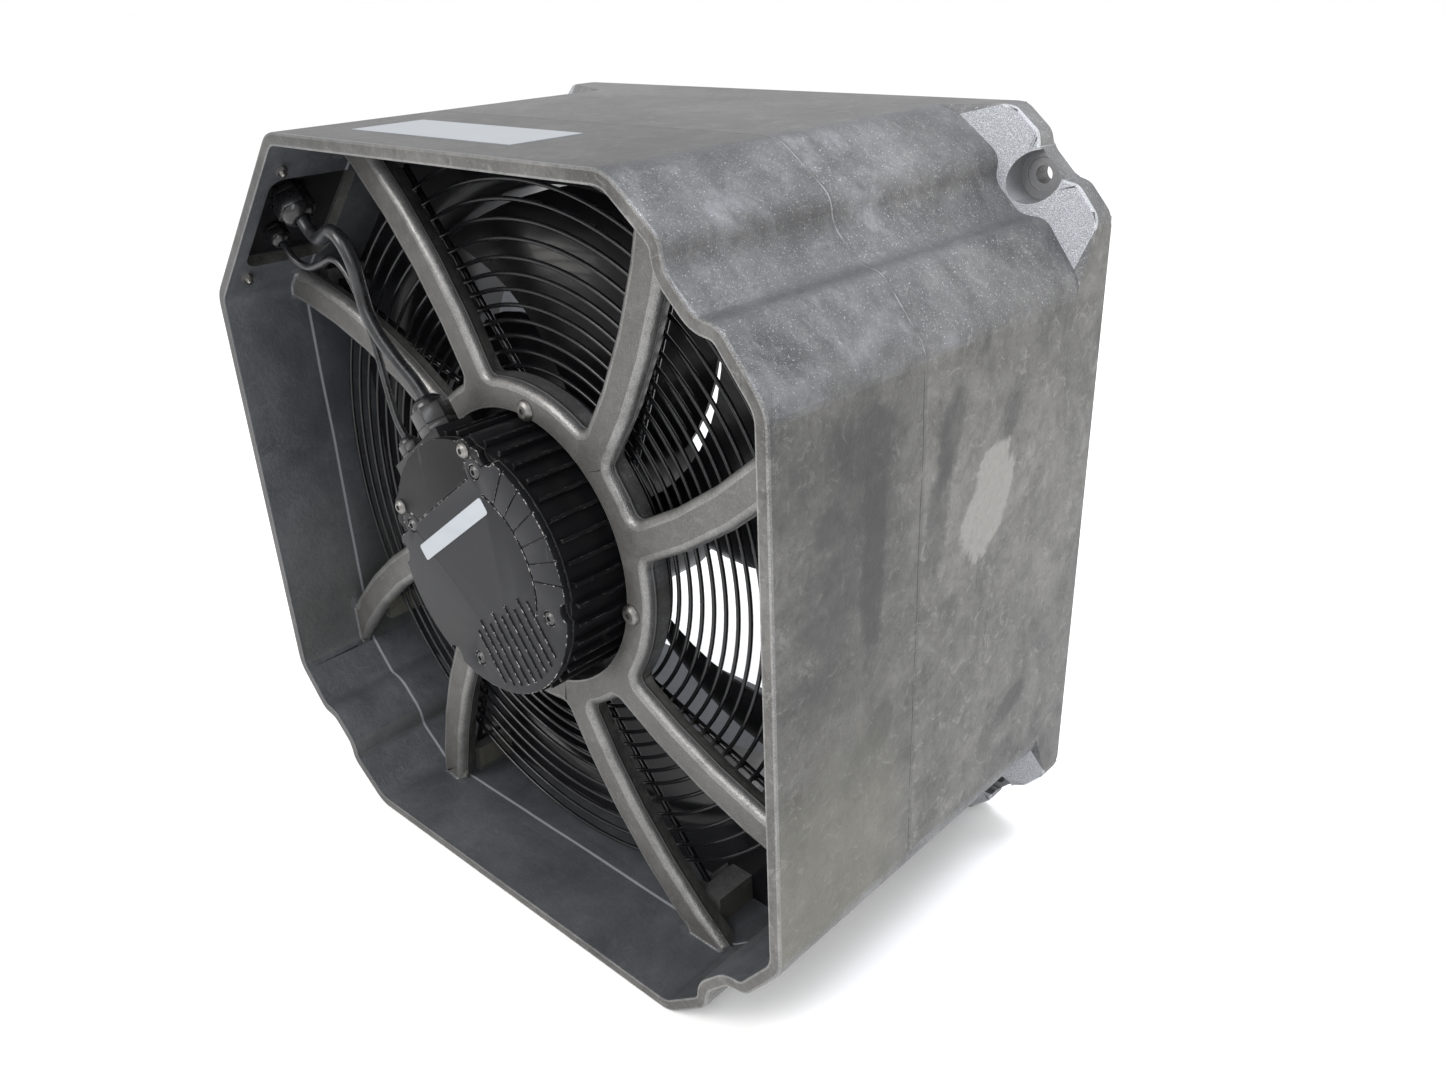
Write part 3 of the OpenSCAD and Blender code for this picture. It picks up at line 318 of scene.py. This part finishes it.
def taper_spokes(piece):
    """Draws the edge of each spoke's rib out to its front part, so that the flank slopes."""
    work = bmesh.from_edit_mesh(piece.data)
    level = [vert for vert in work.verts if abs(vert.co.y - web_step) < flush / 2]
    ahead = [vert for vert in level
        if any(face.calc_center_median().y < web_step - flush for face in vert.link_faces)]
    kept = {vert.index for vert in ahead}
    for vert in level:
        if vert.index not in kept:
            vert.co = min(ahead, key=lambda other: (other.co - vert.co).length).co
    bmesh.update_edit_mesh(piece.data)
    bpy.ops.mesh.select_all(action="SELECT")
    bpy.ops.mesh.remove_doubles(threshold=0.00005)
    bpy.ops.mesh.select_all(action="DESELECT")


def on_web(middle, normals, convex):
    """The front edges of the spokes and the outer edge of the ring."""
    return convex and abs(middle.y - web_front) < flush and middle.xz.length > ring_middle


def at_root(middle, normals, convex):
    """The inside corners where the front faces of the spokes meet the walls."""
    return not convex and abs(middle.y - web_front) < flush and middle.xz.length > root_reach


def on_bore(middle, normals, convex):
    """The front edge of the ring's bore."""
    return convex and abs(middle.y - web_front) < flush and middle.xz.length < bore_reach


def on_rim(middle, normals, convex):
    """The edges of the walls' open front."""
    return convex and abs(middle.y - rim_y) < flush


def from_hole(middle):
    """The distance from the axis of the nearest mounting hole."""
    return (Vector((abs(middle.x), abs(middle.z))) - ear_hole).length


def by_ear(middle):
    return min(abs(middle.x), abs(middle.z)) > ear_reach


def on_ear(middle, normals, convex):
    """The edges of a rear ear, apart from those of the pocket for its bolt."""
    on_it = middle.y > ear_front and by_ear(middle)
    return convex and on_it and from_hole(middle) > pocket_radius


def sand_blasted(face):
    """The sloping faces of an ear, in front of its flange."""
    return face.center.y > pad_front and by_ear(face.center) and -0.995 < face.normal.y < -0.3


def in_pocket(face):
    """The wall of a bolt's pocket in an ear."""
    beside = from_hole(face.center) < pocket_radius + 0.0003
    return pad_front < face.center.y < flange_front and beside


taper_spokes(casting)
round_edges(casting, on_web, 0.0055, segments=5)
round_edges(casting, at_root, 0.0018, segments=3)
round_edges(casting, on_bore, 0.0014)
round_edges(casting, on_rim, 0.0016, profile=0.6)
round_edges(casting, on_ear, 0.0014, mark="burr_and_highlight", profile=0.6)
mark_faces(casting, "blasted", sand_blasted)
mark_faces(casting, "pocket", in_pocket)


def cast_aluminium():
    """Bare casting: its mottled skin first, then what each part of it shows over that."""
    bare = Finish("cast_aluminium", Metallic=0.55, Specular_IOR_Level=0.35)
    x, y, z = bare.axes(bare.place)
    nx, ny, nz = bare.axes(bare.facing())
    soot = (0.045, 0.044, 0.042)
    # a bright grey for painted glints and highlights, and for the bare metal of burrs
    bare_metal_and_glint = (0.55, 0.56, 0.58)

    # where on the casting: which way a face looks from the axis, and how far out it lies
    outward = x * nx + z * nz
    outside_wall = outward > 0.1
    across = x.calc("ABSOLUTE") + z.calc("ABSOLUTE")
    wall_inside, corner_inside, corner_outside = 0.253, 0.392, 0.43
    farthest = x.calc("ABSOLUTE").calc("MAXIMUM", z.calc("ABSOLUTE"))
    on_wall = (farthest > wall_inside).calc("MAXIMUM", across > corner_inside)
    inward = (outward < -0.1) * on_wall * (across < corner_outside)
    sloping = (nx * nz).calc("ABSOLUTE").span(0.02, 0.12) * outside_wall
    web = (y > web_front - flush) * (y < web_back)
    front_of_web = web * (ny < -0.2)

    # the skin of the casting, from patches as wide as a hand down to single grains
    cloud = bare.noise(11, 6, 0.68, 0.5).span(0.34, 0.68)
    drift = bare.noise(4.5, 3, 0.6, 0.6, bare.stretched((1, 0.6, 1.3))).span(0.35, 0.65)
    spots = bare.noise(48, 5, 0.65, 0.3).span(0.3, 0.7)
    speck = bare.noise(300, 3, 0.7).span(0.3, 0.7)
    grain = bare.noise(820, 2, 0.7)
    # fine noise that picks the grains that get painted glints
    painted_glint = bare.noise(900, 2, 0.6).span(0.62, 0.72)
    sparkle = bare.noise(1400, 1, 0.5).span(0.35, 0.7)
    tone = (cloud * 0.36 + drift * 0.2 + spots * 0.24 + speck * 0.12
        + grain.span(0.3, 0.7) * 0.08)
    colour = bare.mix(tone.span(0.2, 0.8), (0.056, 0.055, 0.054), (0.185, 0.181, 0.172))

    # blots where the release agent burned on, runs down the walls and dragged scratches,
    # then rubbed spots, pits and scoured marks
    ragged = bare.noise(38, 5, 0.65, 0.4) - 0.5
    blot = bare.noise(19, 5, 0.68, 0.6, bare.stretched((1, 1, 0.7))).span(0.57, 0.61)
    run = bare.noise(26, 4, 0.62, 0.2, bare.stretched((1, 1, 0.2))).span(0.55, 0.72)
    scratch = bare.noise(22, 6, 0.75, 0.8, bare.stretched((1, 7, 1), (0.6, 0, 0))).span(0.62, 0.7)
    colour = bare.mix(blot * 0.3 + run * 0.22 + scratch * 0.3, colour, soot)
    rubbed = bare.noise(31, 5, 0.7, 0.6).span(0.6, 0.66)
    colour = bare.mix(rubbed * 0.3, colour, (0.22, 0.216, 0.206))
    pitted = bare.noise(64, 6, 0.8, 1.2).span(0.5, 0.56)
    colour = bare.mix(pitted * 0.24, colour, soot)
    scoured = bare.noise(90, 6, 0.8, 0.8).span(0.56, 0.61)
    colour = bare.mix(scoured * 0.36, colour, (0.26, 0.255, 0.243))

    def stain(middle_y, middle_z, half_y, half_z, lean, tear, edge):
        dz = (z - middle_z) * (1 / half_z)
        dy = (y - middle_y) * (1 / half_y) - dz * lean
        return 1 - (dy * dy + dz * dz + ragged * tear).span(edge, 1.1)

    # stains on the right wall: the middle and half size of each in y and z, its lean and depth
    right_wall = nx > 0.9
    stains = (
        (-0.262, 0.09, 0.055, 0.075, 0.1, 0.3), (-0.29, 0.0, 0.02, 0.02, 0, 0.3),
        (-0.15, -0.03, 0.012, 0.018, 0.5, 0.3), (-0.239, 0.06, 0.012, 0.07, 0.1, 0.62),
        (-0.24, 0.13, 0.03, 0.022, 0.2, 0.5), (-0.104, 0.108, 0.012, 0.02, 0.6, 0.55),
        (-0.168, 0.11, 0.012, 0.032, 0.8, 0.55), (-0.178, 0.07, 0.012, 0.05, 0.1, 0.45),
        (-0.082, -0.106, 0.018, 0.013, 0.5, 0.65), (-0.229, -0.046, 0.013, 0.02, 0.4, 0.6),
        (-0.275, 0.094, 0.014, 0.014, 0, 0.5), (-0.275, 0.05, 0.03, 0.03, 0, 0.25),
        (-0.12, -0.2, 0.05, 0.02, 0.3, 0.3))
    for middle_y, middle_z, half_y, half_z, lean, depth in stains:
        dark = stain(middle_y, middle_z, half_y, half_z, lean, 3.2, 0.4)
        colour = bare.mix(dark * right_wall * depth, colour, (0.04, 0.04, 0.041))

    # a faint yellowish lighter tone low on that wall's front half, and one pale dried patch
    low_down = 1 - (z + ragged * 0.12).span(-0.11, 0.0)
    well_forward = 1 - (y + ragged * 0.05).span(-0.235, -0.19)
    low_front_tint = low_down * well_forward
    colour = bare.mix(low_front_tint * right_wall * 0.4, colour, (0.225, 0.219, 0.168))
    patch = stain(-0.126, 0.057, 0.026, 0.037, 0.3, 2.4, 0.85)
    colour = bare.mix(patch * right_wall * (speck * 0.25 + 0.62), colour, (0.26, 0.255, 0.24))

    # the sloping faces of the corners get a painted bluish sheen, painted glints in the grain and a
    # painted gleam on the right
    painted_sheen_blue = bare.mix(cloud, (0.07, 0.073, 0.084), (0.2, 0.207, 0.228))
    colour = bare.mix(sloping * 0.3, colour, painted_sheen_blue)
    colour = bare.mix(sloping * painted_glint * 0.6, colour, bare_metal_and_glint)
    painted_gleam = bare.noise(24, 5, 0.7, 0.4).span(0.5, 0.66) * sloping * (nx > 0.3) * (y < -0.15)
    colour = bare.mix(painted_gleam * 0.3, colour, (0.36, 0.37, 0.4))

    # the blasted ears sparkle, and the pockets in them are lightened with painted light
    blasted = bare.part_of("blasted")
    frosted = bare.mix(sparkle, (0.26, 0.268, 0.285), (0.5, 0.51, 0.535))
    colour = bare.mix(blasted * 0.9, colour, frosted)
    # painted light: the pocket walls are lightened
    colour = bare.mix(bare.part_of("pocket") * 0.5, colour, (0.34, 0.345, 0.36))

    # the front of the spokes and the ring is grainy with painted glints, and the rounded edges get
    # a painted highlight along with their wear
    colour = bare.mix(front_of_web * painted_glint * 0.4, colour, (0.4, 0.4, 0.4))
    grainy = bare.mix(grain, (0.055, 0.054, 0.052), (0.17, 0.166, 0.158))
    colour = bare.mix(front_of_web * 0.55, colour, grainy)
    wear_and_edge_highlight = bare.part_of("wear_and_edge_highlight")
    colour = bare.mix(wear_and_edge_highlight * (sparkle * 0.35 + spots * 0.25), colour, (0.36, 0.36, 0.36))
    # the rounded edges of the ears: bright burrs with a painted highlight
    burr_and_highlight = bare.part_of("burr_and_highlight")
    colour = bare.mix(burr_and_highlight * (sparkle * 0.3 + 0.45), colour, bare_metal_and_glint)

    # the top gets a painted bluish tint from the light above, and painted shade darkens the front
    # rim to the left
    colour = bare.mix((nz > 0.9) * 0.35, colour, (0.115, 0.118, 0.129))
    painted_rim_shade = (y < rim_y + 0.002) * (1 - x.span(-0.24, 0.22))
    colour = bare.mix(painted_rim_shade * 0.6, colour, (0.045, 0.046, 0.049))

    # painted shade: the walls inside are darker and bluish, as they lie deep in the casting away
    # from the lights
    painted_inner_shade = bare.mix(cloud, (0.058, 0.063, 0.076), (0.098, 0.107, 0.127))
    colour = bare.mix(inward * 0.62, colour, painted_inner_shade)

    def line(offset, full, none):
        """1 where the offset either way is below full, fading to 0 where it is none."""
        return 1 - offset.calc("ABSOLUTE").span(full, none)

    # the seam of the two mould halves: a dark hair line, with a painted highlight where it crosses
    # the sloping corners and a soft painted shadow behind it, and the front half a little darker in
    # tone
    seam_y, shadow_y, ledge_y = -0.196, -0.1945, -0.256
    wobble = (bare.noise(14, 2) - 0.5) * 0.004
    outer_seam = line(y - seam_y + wobble, 0.0002, 0.0007)
    painted_seam_shadow = line(y - shadow_y + wobble, 0.0003, 0.0016)
    broken = bare.noise(70, 2).span(0.36, 0.5)
    front_half = (y < seam_y) * outside_wall
    colour = bare.mix(front_half * 0.24 + painted_seam_shadow * outside_wall * 0.3, colour, (0.05, 0.05, 0.05))
    colour = bare.mix(outer_seam * outside_wall * broken * 0.75, colour, (0.03, 0.03, 0.03))
    colour = bare.mix(outer_seam * sloping * broken * 0.6, colour, (0.4, 0.4, 0.41))

    # inside, the mould's parting line is a ledge along the walls with a painted highlight, and
    # along the flanks of the spokes a thin line with a painted highlight beside a groove with
    # painted shade
    inner_seam = line(y - ledge_y + wobble * 0.4, 0.0006, 0.0014)
    colour = bare.mix(inner_seam * inward * 0.7, colour, (0.5, 0.52, 0.56))
    flank = (on_wall < 0.5) * (ny > -0.6)
    groove = line(y - (web_step + 0.0012), 0.0005, 0.0012)
    colour = bare.mix(groove * flank * 0.6, colour, (0.02, 0.02, 0.021))
    parting = line(y - (web_step - 0.0004), 0.0003, 0.0008)
    colour = bare.mix(parting * flank * 0.6, colour, (0.42, 0.42, 0.42))

    bare.set(Base_Color=colour, Roughness=0.44 + tone * 0.12 + blasted * 0.08 - wear_and_edge_highlight * 0.17)
    texture = grain * 0.5 + speck * 0.4 + web * grain * 0.4
    texture += outer_seam * outside_wall * 0.6
    texture += blasted * sparkle * 1.2 + sloping * sparkle * 0.5
    bare.relief(texture, 0.0004, 0.7)
    return bare.material


finish_piece(casting, "frame", cast_aluminium(), "cast_aluminium", "housing")

# ---------- finger guard ----------
# Fourteen steel wire rings welded to eight straight rods behind them, dipped in gloss black
# paint. Each rod runs behind a spoke and ends in a slot of the boss at the spoke's root.
# the radii of the rings: one next to the hub, eight 10 mm apart and five 12 mm apart
guard_rings = [0.111]
guard_rings += [0.1185 + 0.010 * i for i in range(8)]
guard_rings += [0.1885 + 0.012 * i for i in range(1, 6)]
# the radii of the wires and of the beads of weld between them, and the planes they lie in
ring_wire, rod_wire, weld_bead = 0.0015, 0.0025, 0.0024
ring_y = web_back + 0.0065
rod_y = ring_y + 0.0037
# the spokes' angles in degrees at their full reach, and their sweep in degrees to the metre
spoke_starts, spoke_sweep, spoke_reach = (-60, -29.5), 70, 0.294
# a rod's radius at the hub, its reach in x or z, the radius of its boss, and its lag in degrees
rod_start, rod_end, boss_radius, rod_lag = 0.1065, 0.2402, 0.263, 7


def polar(radius, degrees):
    """The point at this radius and angle about the fan's axis."""
    return Vector((radius * cos(radians(degrees)), 0, radius * sin(radians(degrees))))


def spoke_angle(k, radius):
    """The angle of the middle of a spoke, which is swept back towards the hub."""
    return spoke_starts[k % 2] + 90 * (k // 2) - spoke_sweep * (spoke_reach - radius)


def rod_line(k):
    """The start of a rod at the hub, its direction and its length to the boss at the wall."""
    start = polar(rod_start, spoke_angle(k, rod_start) - rod_lag)
    aim = (polar(boss_radius, spoke_angle(k, boss_radius)) - start).normalized()
    across = 0 if abs(aim.x) > abs(aim.z) else 2
    return start, aim, (rod_end - abs(start[across])) / abs(aim[across])


def on_cap(middle, normals, convex):
    """The rims of a bar along Z, before it is turned."""
    return abs(normals[0].z) + abs(normals[1].z) > 0.9


def add_rod(start, end):
    """A bar of the rods' wire from start to end, with its two rims rounded."""
    run = end - start
    bpy.ops.object.select_all(action="DESELECT")
    bpy.ops.mesh.primitive_cylinder_add(vertices=20, radius=rod_wire, depth=run.length,
        location=(start + end) / 2, rotation=run.to_track_quat("Z", "Y").to_euler())
    bpy.ops.object.mode_set(mode="EDIT")
    select_edges(bpy.context.object, on_cap)
    bpy.ops.mesh.bevel(offset=0.0008, segments=3)
    bpy.ops.object.mode_set(mode="OBJECT")
    return bpy.context.object


def weld(parts, name):
    """Joins the parts into one piece whose place is in its mesh."""
    bpy.ops.object.select_all(action="DESELECT")
    for part in parts:
        part.select_set(True)
    bpy.context.view_layer.objects.active = parts[0]
    bpy.ops.object.join()
    piece = bpy.context.object
    piece.name = name
    bpy.ops.object.transform_apply(location=True, rotation=True, scale=True)
    return piece


def wire_guard():
    """The rings, then each rod with a flat bead of weld where it crosses each ring."""
    parts = []
    for radius in guard_rings:
        bpy.ops.object.select_all(action="DESELECT")
        bpy.ops.mesh.primitive_torus_add(major_radius=radius, minor_radius=ring_wire,
            major_segments=168, minor_segments=10, location=(0, ring_y, 0), rotation=(pi / 2, 0, 0))
        parts.append(bpy.context.object)
    raised = Vector((0, rod_y, 0))
    for k in range(8):
        start, aim, length = rod_line(k)
        parts.append(add_rod(start + raised, start + aim * length + raised))
        along = start.dot(aim)
        for radius in guard_rings:
            reach = (along ** 2 - start.length_squared + radius ** 2) ** 0.5 - along
            crossing = start + aim * reach
            bpy.ops.object.select_all(action="DESELECT")
            bpy.ops.mesh.primitive_ico_sphere_add(subdivisions=2, radius=weld_bead,
                location=(crossing.x, ring_y + ring_wire, crossing.z))
            bpy.ops.transform.resize(value=(1.1, 0.5, 1.1))
            parts.append(bpy.context.object)
    return weld(parts, "guard")


def gloss_black(name, colour, rough, dust, gloss=0.06):
    """Gloss paint or plastic with a thin film of dust in clouds and specks."""
    paint = Finish(name, Coat_Weight=gloss, Coat_Roughness=0.08, Specular_IOR_Level=0.16 + gloss)
    film = paint.noise(26, 4, 0.6, 0.3).span(0.45, 0.75)
    speck = paint.noise(420, 2, 0.5).span(0.62, 0.72)
    shade = paint.mix(film * dust + speck * dust * 0.5, colour, (0.14, 0.14, 0.135))
    paint.set(Base_Color=shade, Roughness=rough + film * 0.12)
    paint.relief(paint.noise(340, 2, 0.5), 0.00012, 0.35)
    return paint.material


guard_paint = gloss_black("guard_paint", (0.005, 0.005, 0.006), 0.2, 0.03, gloss=0.12)
finish_piece(wire_guard(), "frame", guard_paint, "wire_black", "finger_guard", smooth=50)

# ---------- inlet nozzle ----------
# A pressed sheet steel plate with a rolled bell mouth and a short throat round the blade tips,
# painted gloss black and screwed to the eight bosses behind the spokes.


def paint_node(node, material):
    """Gives its finish to a CAD node that is shown as it is."""
    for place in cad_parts[node].material_slots:
        place.material = material


def steel(name, colour, rough, dark=0.4):
    """Turned or rolled steel with fine lines and a dark haze."""
    metal = Finish(name, Metallic=1.0)
    haze = metal.noise(160, 3, 0.6)
    lines = metal.noise(900, 2, 0.5, 0, metal.stretched((1, 0.1, 1)))
    shade = metal.mix(haze.span(0.35, 0.7) * dark, colour, tuple(c * 0.35 for c in colour))
    metal.set(Base_Color=shade, Roughness=rough + haze * 0.15)
    metal.relief(lines, 0.00006, 0.3)
    return metal.material


bright_steel = steel("bright_steel", (0.40, 0.39, 0.37), 0.25)
nozzle = work_copy("inlet_nozzle", "nozzle")
nozzle_paint = gloss_black("nozzle_paint", (0.004, 0.004, 0.005), 0.3, 0.02)
finish_piece(nozzle, "frame", nozzle_paint, "nozzle_black", "inlet_nozzle", smooth=40)
paint_node("nozzle_screws", bright_steel)

# ---------- impeller and rotor ----------
# Five swept blades moulded in one with the hub, in gloss black plastic. The hub is pushed over the
# steel bell of the motor and held by six screws at its back, round the end of the shaft.
blades = work_copy("impeller", "blades", flat=0.05)
blade_gloss = gloss_black("blade_gloss", (0.004, 0.004, 0.005), 0.28, 0.02)
finish_piece(blades, "rotor", blade_gloss, "impeller_black", "impeller", smooth=40)
for node in ("impeller_screws", "shaft",
        "bearing_outer_rings", "bearing_inner_rings", "bearing_balls"):
    paint_node(node, bright_steel)
rolled_steel = steel("rolled_steel", (0.24, 0.24, 0.25), 0.35)
for node in ("rotor_bell", "shaft_circlip", "stator_core"):
    paint_node(node, rolled_steel)


def mottled(name, rough, scale, dark, light):
    """A material of two close tones in fine noise, such as a moulding or a sintered magnet."""
    stuff = Finish(name, Roughness=rough)
    stuff.set(Base_Color=stuff.mix(stuff.noise(scale), dark, light))
    return stuff.material


paint_node("magnet_ring", mottled("ferrite", 0.6, 300, (0.03, 0.03, 0.033), (0.09, 0.09, 0.095)))
enamelled_wire = Finish("enamelled_wire", Metallic=0.8, Roughness=0.3)
winding = {"Vector": enamelled_wire.place, "Scale": 400}
turns = enamelled_wire.node("TexWave", {"bands_direction": "Y"}, winding, "Fac")
enamelled_wire.set(Base_Color=enamelled_wire.mix(turns, (0.30, 0.10, 0.03), (0.62, 0.27, 0.10)))
enamelled_wire.relief(turns, 0.0003, 0.8)
paint_node("stator_windings", enamelled_wire.material)

# ---------- motor ----------
# A finned aluminium body with its flange behind the hub ring, a round cover over the electronics
# and a smaller lid over the terminals. All are painted satin black, worn bright along the edges.


def satin_black(name, colour, edge, rough):
    """Satin paint with rubbed streaks, chipped along the worn edges down to the bright metal."""
    paint = Finish(name, Metallic=0.1, Specular_IOR_Level=0.22)
    film = paint.noise(34, 4, 0.62, 0.5)
    fine = paint.noise(700, 2, 0.5)
    chips = paint.noise(260, 3, 0.7)
    wear_and_edge_highlight = paint.part_of("wear_and_edge_highlight") * chips.span(0.52, 0.64)
    rub = paint.noise(70, 3, 0.6, 0, paint.stretched((1, 1, 0.25))).span(0.66, 0.8)
    shade = paint.mix(film.span(0.35, 0.7) * 0.5, colour, tuple(c * 1.9 for c in colour))
    shade = paint.mix(rub * 0.25, shade, (0.12, 0.12, 0.12))
    shade = paint.mix(wear_and_edge_highlight * edge, shade, (0.55, 0.54, 0.52))
    paint.set(Base_Color=shade, Roughness=rough + film * 0.14 - wear_and_edge_highlight * 0.1)
    paint.relief(fine * 0.7 + chips * 0.3, 0.00015, 0.5)
    return paint.material


def outside(middle, normals, convex):
    """Every edge that is not an inside corner."""
    return convex


motor_body = work_copy("motor_housing", "motor_body")
round_edges(motor_body, outside, 0.0003)
body_paint = satin_black("body_paint", (0.007, 0.007, 0.008), 0.14, 0.32)
finish_piece(motor_body, "frame", body_paint, "motor_black", "motor_housing")
cover_paint = satin_black("cover_paint", (0.0095, 0.0098, 0.0115), 0.7, 0.42)
lid_paint = satin_black("lid_paint", (0.0035, 0.0036, 0.0044), 0.5, 0.5)
for node, name, paint in (
        ("motor_cover", "cover", cover_paint), ("terminal_lid", "lid", lid_paint)):
    plate = work_copy(node, name)
    round_edges(plate, outside, 0.0004)
    finish_piece(plate, "frame", paint, "cover_black", node)
seal_rubber = mottled("seal_rubber", 0.75, 500, (0.012, 0.012, 0.012), (0.035, 0.035, 0.035))
for node in ("cover_gasket", "lid_gasket", "entry_gasket",
        "power_gland_seals", "signal_gland_seals"):
    paint_node(node, seal_rubber)
black_steel = steel("black_steel", (0.10, 0.10, 0.10), 0.35)
paint_node("cover_screws", black_steel)
grey_steel = steel("grey_steel", (0.24, 0.235, 0.225), 0.36, 0.7)
for node in ("hub_screws", "lid_screws"):
    paint_node(node, grey_steel)
for node in ("board_screws", "entry_screws", "entry_nuts"):
    paint_node(node, bright_steel)
board_green = Finish("board_green", Roughness=0.35)
lands = board_green.node("TexVoronoi", {}, {"Vector": board_green.place, "Scale": 260}, "Distance")
board_green.set(Base_Color=board_green.mix(lands, (0.01, 0.09, 0.03), (0.03, 0.2, 0.08)))
paint_node("circuit_board", board_green.material)
terminal_white = mottled("terminal_white", 0.5, 200, (0.6, 0.6, 0.56), (0.75, 0.75, 0.7))
paint_node("terminal_block", terminal_white)

# ---------- cable entry ----------
# A flat black steel plate over the window in the cut corner, a large and a small plastic gland
# through it, and the same two glands on the motor. Each gland is a hexagon body and a dome nut.
entry = work_copy("entry_plate", "entry")
round_edges(entry, outside, 0.0003)
entry_paint = satin_black("entry_paint", (0.006, 0.006, 0.007), 0.2, 0.35)
finish_piece(entry, "frame", entry_paint, "plate_black", "entry_plate")
gland_plastic = Finish("gland_plastic", Specular_IOR_Level=0.5)
mottle = gland_plastic.noise(220, 3)
gland_plastic.set(Roughness=0.2 + mottle * 0.16,
    Base_Color=gland_plastic.mix(mottle, (0.004, 0.004, 0.005), (0.010, 0.010, 0.011)))
gland_plastic.relief(gland_plastic.noise(900), 0.00005, 0.3)
for node in ("power_gland_bodies", "power_gland_nuts", "power_gland_locknut",
        "signal_gland_bodies", "signal_gland_nuts", "signal_gland_locknut"):
    moulding = work_copy(node, node.replace("gland", "entry_gland"))
    round_edges(moulding, outside, 0.0005)
    finish_piece(moulding, "frame", gland_plastic.material, "gland_black", node)

# ---------- leads ----------
# Two round black sheathed leads from the corner glands to the motor glands, a thick one for the
# supply and a thin one for the speed signal. Both are gripped by the glands' rubber seals.
sheath = Finish("sheath", Specular_IOR_Level=0.5)
scuff = sheath.noise(90, 4, 0.6)
sheath.set(Roughness=0.2 + scuff * 0.18,
    Base_Color=sheath.mix(scuff.span(0.4, 0.7), (0.006, 0.006, 0.007), (0.018, 0.019, 0.022)))
sheath.relief(sheath.noise(500), 0.00005, 0.2)
for node, name in (("power_lead", "thick_lead"), ("signal_lead", "thin_lead")):
    lead = work_copy(node, name, flat=0.01)
    bpy.ops.object.mode_set(mode="OBJECT")
    finer = lead.modifiers.new("finer", "SUBSURF")
    finer.levels = 1
    finer.render_levels = 1
    bpy.ops.object.modifier_apply(modifier="finer")
    finish_piece(lead, "frame", sheath.material, "cable_black", node, smooth=60)

# ---------- labels ----------
# Two self-adhesive plates of thin aluminium foil, left blank: a strip on the motor's cover and a
# larger one on the top of the housing.
foil = Finish("foil", Metallic=0.55)
crease = foil.noise(60, 3, 0.5, 0, foil.stretched((0.3, 1, 1)))
foil.set(Roughness=0.3 + crease * 0.2,
    Base_Color=foil.mix(crease, (0.27, 0.292, 0.318), (0.38, 0.402, 0.425)))
foil.relief(crease, 0.0003, 0.4)
paint_node("motor_label", foil.material)
paint_node("rating_plate", foil.material)
